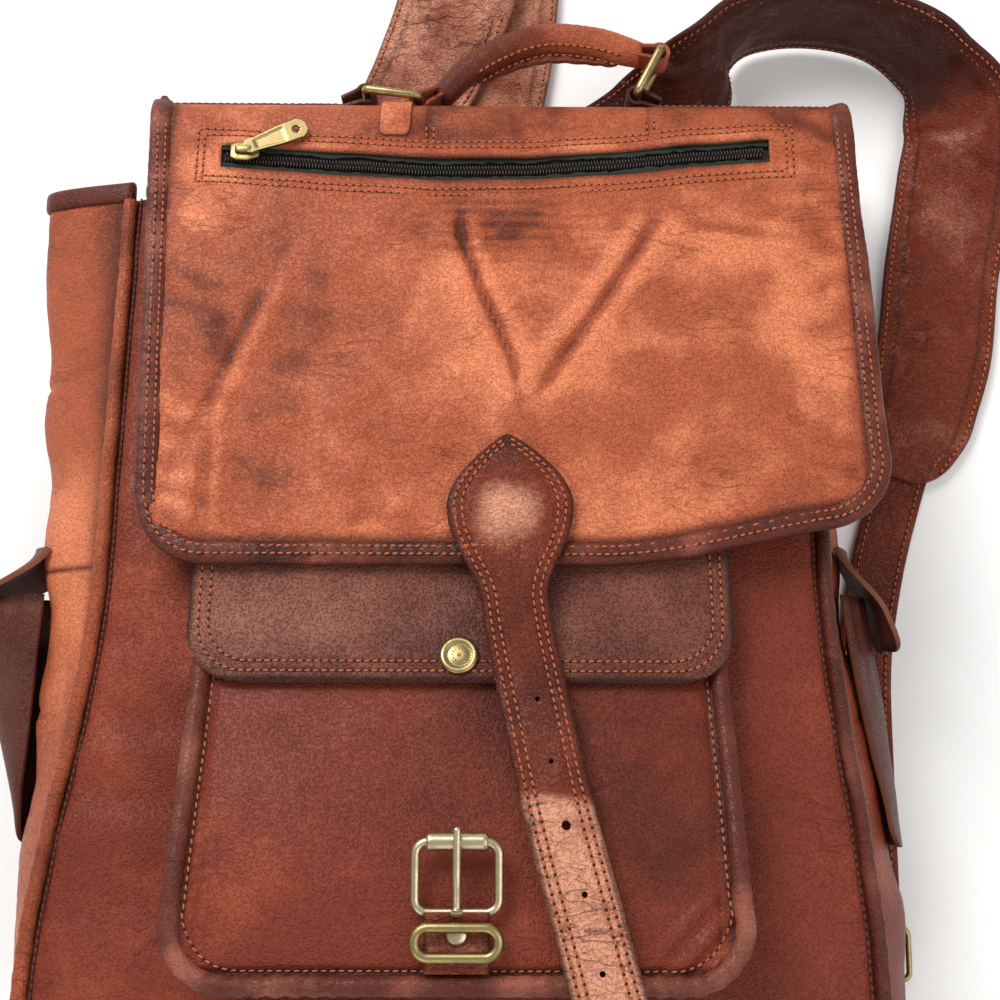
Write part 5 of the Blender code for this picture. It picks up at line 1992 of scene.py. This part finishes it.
@dataclass
class TopHandle:
    """The rolled grip between its two rings, and the tabs that hold them."""

    z: float = 0.053

    def build(self) -> None:
        """Makes the handle."""
        self.grip()
        self.rings()
        self.loops()
        self.tabs()

    def path(self, count: int) -> list[Vector]:
        """The grip's centre."""
        knots = ((-0.0275, 0.2085), (-0.014, 0.2225), (0.005, 0.2335), (0.022, 0.238), (0.042, 0.2365),
                 (0.056, 0.2325), (0.064, 0.23))
        return smooth_line([vec3(x, y, self.z) for x, y in knots], count)

    def grip(self) -> None:
        """The rolled leather, its seam flange and its thread."""
        line = self.path(90)

        def section(v: float, a: float) -> tuple[float, float]:
            """A roll that is flatter toward its ends and wrinkled in the bend."""
            thin = 1 - 0.16 * bump(min(v, 1 - v), 0.16) - 0.3 * bump(min(v, 1 - v), 0.012)
            ripple = 1 + 0.018 * math.sin(v * 190 + 2 * math.sin(a)) * math.sin(math.pi * v)
            return 0.0068 * thin * ripple * math.cos(a), 0.0068 * thin * ripple * math.sin(a)

        obj = Maker.tube("grip_roll", line, section, Finish.TAN, 26)
        Maker.dress(obj, Body.HANDLE, Finish.TAN, ["handle_grip", "handle_core"],
                    lambda p: 0.1 + 0.42 * smooth((p.x - 0.002) / 0.05) + 0.25 * grain(p, 60, 1.0),
                    lambda p: 0.55 * bump(p.x + 0.026, 0.012))
        frames = Maker.turns(line, vec3(0, 0, 1))
        count = 60

        def flange(u: float, v: float) -> Vector:
            """A point of the flat seam below the roll."""
            i = 14 + round(v * count)
            side, up = frames[i]
            wide = 0.0052 * math.sin(math.pi * min(1.0, max(0.0, v))) ** 0.4
            return line[i] + side * (0.0052 + wide * u) + up * (-0.0015 + 0.0004 * math.sin(i * 0.9))

        seam = Maker.sheet("grip_seam", flange, 5, count, Finish.TAN, 0.0028, offset=0.0)
        # Painted shade under the grip: the seam's tone is kept low, a little higher toward its right end.
        Maker.dress(
            seam, Body.HANDLE, Finish.TAN, (), lambda p: 0.06 + 0.16 * smooth((p.x - 0.002) / 0.05), 0.25
        )
        rows = []
        for across, lift in ((0.0078, 0.0002), (0.005, 0.0046)):
            near = [line[i] + frames[i][0] * across + frames[i][1] * lift for i in range(17, 74)]
            rows.append([(p, vec3(0, -0.3 if lift > 0.001 else 0.0, 1).normalized())
                         for p in resample(near, Seams.PITCH)])
        Maker.sew("grip_thread", rows, Body.HANDLE)

    def rings(self) -> None:
        """The two rectangular rings."""
        for name, body in (("ring_left", Body.RING_LEFT), ("ring_right", Body.RING_RIGHT)):
            low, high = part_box(name)
            rod = 0.0019
            if body is Body.RING_LEFT:
                a, b = vec3(-0.06, 0.2085, 0), vec3(-0.036, 0.2055, 0)
            else:
                a, b = vec3(0.061, 0.2085, 0), vec3(0.0715, 0.229, 0)
            ahead = (b - a).normalized()
            middle = (a + b) / 2 + vec3(0, 0, self.z)
            tall = (high.z - low.z) - 2 * rod
            outline = rounded((b - a).length, tall, 0.0022, 5)
            line = [middle + ahead * p.x + vec3(0, 0, p.y) for p in outline]
            flat = vec3(-ahead.y, ahead.x, 0)
            obj = Maker.tube(
                f"{name}_rod", line, Maker.round_section(rod), Finish.BRASS, 14, closed=True, up=flat
            )
            Maker.place(obj, body, Finish.BRASS, [name])

    def loops(self) -> None:
        """Leather loops that hold the rings."""
        left, right = vec3(-0.036, 0.2055, self.z), vec3(0.0715, 0.229, self.z)
        path = self.path(90)
        spots = (
            ("handle_loop_left", left, path[4] - left, 0.0064, Body.HANDLE, Finish.TAN),
            ("handle_loop_right", right, path[-5] - right, 0.0064, Body.HANDLE, Finish.TAN),
            ("handle_tab_left_loop", vec3(-0.06, 0.2085, self.z), vec3(-1, -0.35, 0), 0.0062, Body.BAG,
             Finish.DARK),
            ("handle_tab_right_loop", vec3(0.061, 0.2085, self.z), vec3(1, -0.35, 0), 0.0062, Body.BAG,
             Finish.DARK),
        )
        for name, centre, ahead, half, body, finish in spots:
            ahead = vec3(ahead.x, ahead.y, 0).normalized()
            side = vec3(-ahead.y, ahead.x, 0)

            def shape(
                u: float, v: float, centre: Vector = centre, ahead: Vector = ahead, side: Vector = side,
                half: float = half,
            ) -> Vector:
                """A point of the loop."""
                a = between(math.radians(40), math.radians(320), min(1.0, max(0.0, v * 2 - 0.5)))
                leg = max(0.0, 1 - v * 4, v * 4 - 3)
                radius = 0.0031
                place = centre + ahead * (radius * math.cos(a) + 0.0085 * leg)
                place += side * radius * math.sin(a) * (1 - 0.4 * leg)
                return place + vec3(0, 0, between(-half, half, u) * (1 - 0.15 * leg))

            obj = Maker.sheet(f"{name}_hide", shape, 10, 44, finish, 0.0016)
            Maker.dress(obj, body, finish, [name],
                        lambda p: 0.5 + 0.3 * grain(p, 90, 2.0),
                        lambda p: 0.5 * bump(abs(p.z - self.z) - 0.006, 0.001))

    def tabs(self) -> None:
        """Long leather tabs along the top edge."""
        rows = []
        for name, low_x, high_x in (("handle_tab_left", -0.15, -0.0672), ("handle_tab_right", 0.0682, 0.15)):

            def shape(u: float, v: float, low_x: float = low_x, high_x: float = high_x) -> Vector:
                """A point of the tab's outer face."""
                x, z = between(high_x, low_x, u), between(0.0446, 0.0599, v)
                edge = min(abs(x - low_x), abs(high_x - x), z - 0.0446, 0.0599 - z)
                y = 0.2035 - 0.0007 * bump(edge, 0.0014) + 0.0003 * grain(vec3(x, z, 0), 90)
                return vec3(x, y, z)

            obj = Maker.sheet(f"{name}_hide", shape, 60, 12, Finish.DARK, 0.0022, rim=Finish.SUEDE)
            Maker.dress(obj, Body.BAG, Finish.DARK, [name],
                        lambda p: 0.5 + 0.3 * grain(p, 60, 1.0),
                        lambda p: 0.7 * bump(abs(p.z - 0.0522) - 0.0076, 0.001))
            for z in (0.047, 0.0575):
                line = [vec3(low_x + 0.003, 0.2036, z), vec3(high_x - 0.003, 0.2036, z)]
                rows.append(Seams.along(line, vec3(0, 1, 0)))
        Maker.sew("tab_thread", rows, Body.BAG)


# Side pockets


@dataclass
class SidePocket:
    """A gathered pocket on a side wall, with a small flap."""

    side: int
    name: str
    depth: float
    flap_body: Body
    z_low: float
    z_high: float

    def wall_x(self, y: float, z: float) -> float:
        """The side wall's outer face."""
        low, high = BAG.gusset(self.side, y, 0.0).z, BAG.gusset(self.side, y, 1.0).z
        return BAG.gusset(self.side, y, (z - low) / (high - low)).x

    def build(self) -> None:
        """Makes the pouch and its flap."""

        def pouch(u: float, v: float) -> Vector:
            """A point of the pouch, gathered at its mouth."""
            y = between(-0.118, -0.016, v)
            draw = corner_inset((v + 0.004) * 0.102, 0.01)
            z = between(self.z_low + draw, self.z_high - draw, u)
            rise = self.depth * smooth(0.2 + v * 1.2) * math.sin(math.pi * min(1, max(0, u))) ** 0.6
            gather = 0.0016 * math.sin(u * 34) * smooth(v * 2 - 0.9) * min(1.0, self.depth / 0.012)
            place = vec3(0, y, z)
            ease = 0.001 * grain(place, 40, 6.0)
            skin = 0.003 + 0.0018 if self.side * self.depth else 0.0
            return vec3(self.wall_x(y, z) + self.side * (skin + rise + gather + ease), y, z)

        flip = self.side < 0
        shape = pouch if flip else (lambda u, v: pouch(1 - u, v))
        obj = Maker.sheet(f"{self.name}_pouch", shape, 44, 56, Finish.DARK, 0.0018, rim=Finish.SUEDE)
        Maker.dress(obj, Body.BAG, Finish.DARK, [f"{self.name}_side_pocket"],
                    lambda p: 0.45 + 0.3 * grain(p, 40, 3.0),
                    lambda p: max(0.8 * bump(p.y + 0.016, 0.004), 0.6 * bump(p.y + 0.118, 0.004)))

        def flap(u: float, v: float) -> Vector:
            """A point of the flap, which stands off the pouch."""
            y = between(0.004, -0.038, v)
            draw = corner_inset((1.01 - v) * 0.042, 0.011)
            z = between(self.z_low + draw, self.z_high - draw, u)
            rise = (self.depth * 1.2 + 0.0035) * smooth(v * 1.6) + 0.003 * v
            curl = 0.0012 * v * math.sin(u * 6 + 1) + 0.0005 * grain(vec3(0, y, z), 60, 2.0)
            x = between(self.wall_x(y, z), self.wall_x(y, 0.05), v)
            return vec3(x + self.side * (0.0026 + 0.0026 + rise + curl), y, z)

        shape = (lambda u, v: flap(u, 1 - v)) if flip else (lambda u, v: flap(1 - u, 1 - v))
        lid = Maker.sheet(f"{self.name}_lid", shape, 24, 26, Finish.DARK, 0.0022, rim=Finish.SUEDE)
        Maker.dress(lid, self.flap_body, Finish.DARK, [f"{self.name}_side_flap"],
                    lambda p: 0.5 + 0.3 * grain(p, 40, 3.0), lambda p: 0.8 * bump(p.y + 0.038, 0.003))


# Shoulder straps


@dataclass
class PadRoute:
    """A strap's course: places, widths and leans, which are 0 where it lies flat and 90 where it stands."""

    name: str
    body: Body
    knots: Sequence[Vector]
    widths: Sequence[float]
    leans: Sequence[float]
    thick: float
    count: int

    def centre(self) -> list[Vector]:
        """The strap's centre line."""
        return smooth_line(self.knots, self.count)

    def value(self, values: Sequence[float], i: int) -> float:
        """A width or lean at a place along the strap."""
        at = i * (len(values) - 1) / (self.count - 1)
        k = min(int(at), len(values) - 2)
        return between(values[k], values[k + 1], smooth(at - k))

    def frames(self) -> list[tuple[Vector, Vector]]:
        """The side and normal of the strap at each place."""
        line, flats, found = self.centre(), [], []
        aheads = [
            (line[min(i + 1, self.count - 1)] - line[max(i - 1, 0)]).normalized() for i in range(self.count)
        ]
        for ahead in aheads:
            flat = ahead.cross(vec3(0, 0, 1))
            if flats and flat.length < 0.8:
                flat = flats[-1].copy()
            flat.normalize()
            flats.append(-flat if flats and flat.dot(flats[-1]) < 0 else flat)
        for i, ahead in enumerate(aheads):
            flat = sum(flats[max(0, i - 5):i + 6], Vector()).normalized()
            lean = math.radians(self.value(self.leans, i))
            side = flat * math.cos(lean) + flat.cross(ahead) * math.sin(lean)
            found.append((side, side.cross(ahead).normalized()))
        return found


SWELL_CLOTH = {
    "quality": 5,
    "mass": 0.3,
    "tension_stiffness": 12,
    "bending_stiffness": 0.4,
    "use_pressure": True,
    "uniform_pressure_force": 3.0,
    "vertex_group_mass": "held",
    "shrink_min": -0.04,
}
SWELL_STEPS = 16
SWELL_LIMIT = 0.0016


@dataclass
class ShoulderStraps:
    """Padded shoulder straps, the narrow straps below them and their adjusters."""

    border: float = 0.0085
    pad: float = 0.0072

    def build(self) -> None:
        """Makes both straps."""
        right = PadRoute(
            "right_shoulder_pad", Body.RIGHT_PAD,
            [Vector(p) for p in (
                (0.036, 0.201, 0.005), (0.065, 0.21, 0.0105), (0.09, 0.231, 0.0225), (0.104, 0.25, 0.03),
                (0.124, 0.26, 0.03), (0.149, 0.263, 0.03), (0.178, 0.258, 0.03), (0.204, 0.24, 0.029),
                (0.218, 0.214, 0.022), (0.217, 0.18, 0.0094), (0.211, 0.145, 0.005), (0.206, 0.108, 0.0046),
                (0.198, 0.076, 0.0046), (0.187, 0.044, 0.0046))],
            (0.046, 0.052, 0.054, 0.054, 0.054, 0.054, 0.054, 0.055, 0.056, 0.056, 0.056, 0.056, 0.052,
             0.036),
            (0, -12, -42, -76, -86, -86, -84, -76, -38, -9, 0, 0, 0, 0), self.pad, 132)
        left = PadRoute(
            "left_shoulder_pad", Body.LEFT_PAD,
            [Vector(p) for p in (
                (-0.008, 0.203, 0.0047), (-0.004, 0.228, 0.0047), (0.0, 0.262, 0.0047), (0.002, 0.3, 0.0055),
                (-0.001, 0.334, 0.0085), (-0.006, 0.347, 0.0155), (-0.012, 0.336, 0.0225),
                (-0.017, 0.31, 0.0215),
                (-0.021, 0.28, 0.018), (-0.03, 0.252, 0.015), (-0.041, 0.228, 0.013),
                (-0.053, 0.205, 0.0105))],
            (0.048, 0.052, 0.055, 0.056, 0.056, 0.056, 0.056, 0.056, 0.056, 0.055, 0.052, 0.036), (0, 0),
            self.pad, 136)
        self.padded(right, 1)
        self.padded(left, -1)
        narrow_right = [
            (0.1905, 0.054, 0.0016), (0.1835, 0.0335, 0.0018), (0.174, 0.0, 0.0024), (0.167, -0.041, 0.0026),
            (0.166, -0.09, 0.0026), (0.166, -0.14, 0.0026), (0.166, -0.182, 0.0026),
        ]
        narrow_left = [
            (-0.05, 0.206, 0.0066), (-0.06, 0.1975, 0.0044), (-0.084, 0.178, 0.0026), (-0.124, 0.155, 0.0026),
            (-0.155, 0.126, 0.0026), (-0.166, 0.088, 0.0026), (-0.166, 0.02, 0.0026),
            (-0.166, -0.06, 0.0026), (-0.166, -0.182, 0.0026),
        ]
        for name, knots in (("right_narrow_strap", narrow_right), ("left_narrow_strap", narrow_left)):
            self.narrow(
                PadRoute(name, Body.BAG, [Vector(p) for p in knots], (0.025, 0.025), (0, 0), 0.0032, 110)
            )
        self.adjusters()

    def padded(self, route: PadRoute, seed: int) -> None:
        """A padded strap: cloth swells between its stitched borders."""
        line, frames = route.centre(), route.frames()
        last = route.count - 1
        across = 20

        def shape(u: float, v: float, rise: float) -> Vector:
            """A point of one face of the strap."""
            i = round(v * last)
            half = route.value(route.widths, i) / 2 - 0.0006
            half -= corner_inset((last - i) * self.step(line) + 0.0004, 0.015)
            offset = (u - 0.5) * 2 * half
            inner = half - abs(offset)
            middle = smooth((inner - self.border * 0.55) / 0.006)
            ends = smooth(min(v, 1 - v) / 0.05)
            place = line[i] + frames[i][0] * offset
            crush = 0.35 * middle * grain(place, 75, 2.0 + seed)
            swell = 0.0016 + 0.0015 * middle * ends * (1 + crush)
            return place + frames[i][1] * rise * swell

        work = Maker.grid(lambda u, v: shape(u, v, 1.0), across, last)
        Maker.absorb(work, Maker.grid(lambda u, v: shape(u, v, -1.0), across, last))
        open_edges = [e for e in work.edges if e.is_boundary]
        bmesh.ops.bridge_loops(work, edges=open_edges)
        bmesh.ops.recalc_face_normals(work, faces=work.faces)
        obj = Maker.from_bmesh(f"{route.name.replace('_pad', '')}_padding", work, Finish.STRAP)
        places = [v.co.copy() for v in obj.data.vertices]
        hold = []
        for place in places:
            near = min(range(len(line)), key=lambda k: (line[k] - place).length_squared)
            inner = route.value(route.widths, near) / 2 - abs((place - line[near]).dot(frames[near][0]))
            end = min(near, last - near) / last
            hold.append(max(0.0, min(1.0, 1 - (inner - self.border) / 0.004)) if end > 0.035 else 1.0)
        self.swell(obj, places, hold)
        self.finish_pad(obj, route, line, frames)

    @staticmethod
    def step(line: list[Vector]) -> float:
        """Distance between places near a strap's lower end."""
        return (line[-1] - line[-2]).length

    def swell(self, obj: bpy.types.Object, places: list[Vector], hold: list[float]) -> None:
        """Inflates a pad as cloth held along its borders, and keeps the result within SWELL_LIMIT."""
        group = obj.vertex_groups.new(name="held")
        for i, weight in enumerate(hold):
            group.add([i], weight, "REPLACE")
        cloth = obj.modifiers.new("swell", "CLOTH").settings
        for key, value in SWELL_CLOTH.items():
            setattr(cloth, key, value)
        cloth.effector_weights.gravity = 0.0
        scene = bpy.context.scene
        for step in range(1, SWELL_STEPS + 1):
            scene.frame_set(step)
        graph = bpy.context.evaluated_depsgraph_get()
        moved = [v.co.copy() for v in obj.evaluated_get(graph).data.vertices]
        obj.modifiers.clear()
        scene.frame_set(1)
        for vert, start, end in zip(obj.data.vertices, places, moved):
            push = end - start
            if push.length > SWELL_LIMIT:
                push = push.normalized() * SWELL_LIMIT
            vert.co = start + push
        obj.vertex_groups.clear()

    def finish_pad(
        self, obj: bpy.types.Object, route: PadRoute, line: list[Vector], frames: list[tuple[Vector, Vector]]
    ) -> None:
        """Paints and places a pad, and sews its borders."""
        last = route.count - 1

        def inner(place: Vector) -> float:
            """Distance from the nearer edge."""
            near = min(range(0, last + 1, 2), key=lambda k: (line[k] - place).length_squared)
            return route.value(route.widths, near) / 2 - abs((place - line[near]).dot(frames[near][0]))

        pale = 0.16 if route.body is Body.RIGHT_PAD else 0.34

        def tone(place: Vector) -> float:
            """Painted shade: darker on the inner face where the strap stands on its edge."""
            shade = 0.58 * smooth((place.y - 0.205) / 0.03) if route.body is Body.RIGHT_PAD else 0.0
            return 0.36 + pale - shade + 0.28 * grain(place, 30, 3.0)

        Maker.paint(obj, tone,
                    lambda p: 0.7 * bump(inner(p), 0.0016) + 0.55 * bump(inner(p) - self.border, 0.0014))
        sub = obj.modifiers.new("soften", "SUBSURF")
        sub.levels = 1
        sub.render_levels = 1
        Maker.apply(obj)
        Maker.place(obj, route.body, Finish.STRAP, [route.name])
        rows = []
        for inset in (0.003, 0.0072):
            for hand in (-1, 1):
                for face in (-1, 1):
                    chain = [
                        line[i] + frames[i][0] * hand * (route.value(route.widths, i) / 2 - 0.0006 - inset)
                        + frames[i][1] * face * 0.0016
                        for i in range(3, last - 2)
                    ]
                    rows.append(Seams.beside(chain, frames[3:], face))
        name = f"{route.name.replace('_pad', '')}_thread"
        Maker.sew(name, rows, route.body)

    def narrow(self, route: PadRoute) -> None:
        """A flat strap with thread along both edges."""
        line, frames = route.centre(), route.frames()
        last = route.count - 1

        def shape(u: float, v: float) -> Vector:
            """A point of the strap's face."""
            i = round(v * last)
            offset = (u - 0.5) * 0.0246
            inner = 0.0123 - abs(offset)
            lift = 0.0016 - 0.0006 * bump(inner, 0.0012) - 0.0003 * bump(inner - 0.0032, 0.0008)
            return line[i] + frames[i][0] * offset + frames[i][1] * lift

        work = Maker.grid(shape, 14, last)
        Maker.turn_faces(work, frames[0][1])
        obj = Maker.from_bmesh(f"{route.name}_hide", work, Finish.STRAP)
        Maker.paint(obj, lambda p: 0.4 + 0.3 * grain(p, 50, 1.0), 0.1)
        Maker.thicken(obj, route.thick, -1.0, Finish.SUEDE, 0.0004)
        Maker.place(obj, route.body, Finish.STRAP, [route.name])
        rows = []
        for hand in (-1, 1):
            for face in (-1, 1):
                chain = [line[i] + frames[i][0] * hand * 0.0091 + frames[i][1] * face * 0.0015
                         for i in range(last + 1)]
                rows.append(Seams.beside(chain, frames, face))
        Maker.sew(f"{route.name}_thread", rows, route.body)

    def adjusters(self) -> None:
        """The buckles at the lower ends of the narrow straps."""
        for side, name, body in ((-1, "left", Body.LEFT_TONGUE), (1, "right", Body.RIGHT_TONGUE)):
            x = side * 0.166
            z = 0.0026 + 0.0017 + 0.0003 + 0.0013
            middle = vec3(x, -0.167, z)
            line = [middle + p for p in rounded(0.0286, 0.022, 0.0035, 6)]
            loop = Maker.tube(
                f"{name}_adjuster", line, Maker.round_section(0.0013), Finish.BRASS, 12, closed=True
            )
            Maker.place(loop, Body.BAG, Finish.BRASS, [f"{name}_strap_buckle"])
            path = [vec3(x, -0.1755, z + 0.0012), vec3(x, -0.164, z + 0.0023), vec3(x, -0.1525, z + 0.0029)]
            prong = Maker.tube(
                f"{name}_prong", smooth_line(path, 24), Maker.round_section(0.0011), Finish.BRASS, 12
            )
            Maker.place(prong, body, Finish.BRASS, [f"{name}_strap_tongue"])


# The rest


@dataclass(frozen=True)
class HiddenParts:
    """Frame parts whose shape is right as it stands, and the finish that each takes."""

    finishes: tuple[tuple[str, Finish], ...] = (
        ("back_foam", Finish.FOAM),
        ("base_board", Finish.BOARD),
        ("lining", Finish.CANVAS),
        ("zip_pouch", Finish.CANVAS),
        ("snap_socket", Finish.BRASS),
        ("snap_stud", Finish.BRASS),
        ("strap_anchor", Finish.PLAIN_RED),
    )

    def build(self, nodes: dict[str, bpy.types.Object]) -> None:
        """Gives each part its material."""
        for name, finish in self.finishes:
            part = nodes[name]
            if not part.material_slots:
                part.data.materials.append(None)
            for slot in part.material_slots:
                slot.material = FinishStore.get(finish)
            LOG.info("%s keeps its shape", name)


def main() -> None:
    """Builds the backpack in its sub-assemblies."""
    logging.basicConfig(level=logging.INFO, format="%(message)s")
    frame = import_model()
    Studio(vec3(-0.003734, -0.07874, 0.644323)).build()
    BodyShell().build()
    flap = MainFlap()
    flap.build()
    ZipFitting(flap).build()
    ClosingStrap().build()
    pocket = FrontPocket()
    pocket.build()
    BuckleSet(pocket).build()
    TopHandle().build()
    SidePocket(-1, "left", 0.02, Body.LEFT_FLAP, 0.024, 0.058).build()
    SidePocket(1, "right", 0.0055, Body.RIGHT_FLAP, 0.027, 0.069).build()
    ShoulderStraps().build()
    HiddenParts().build(frame["nodes"])


if __name__ == "__main__":
    main()
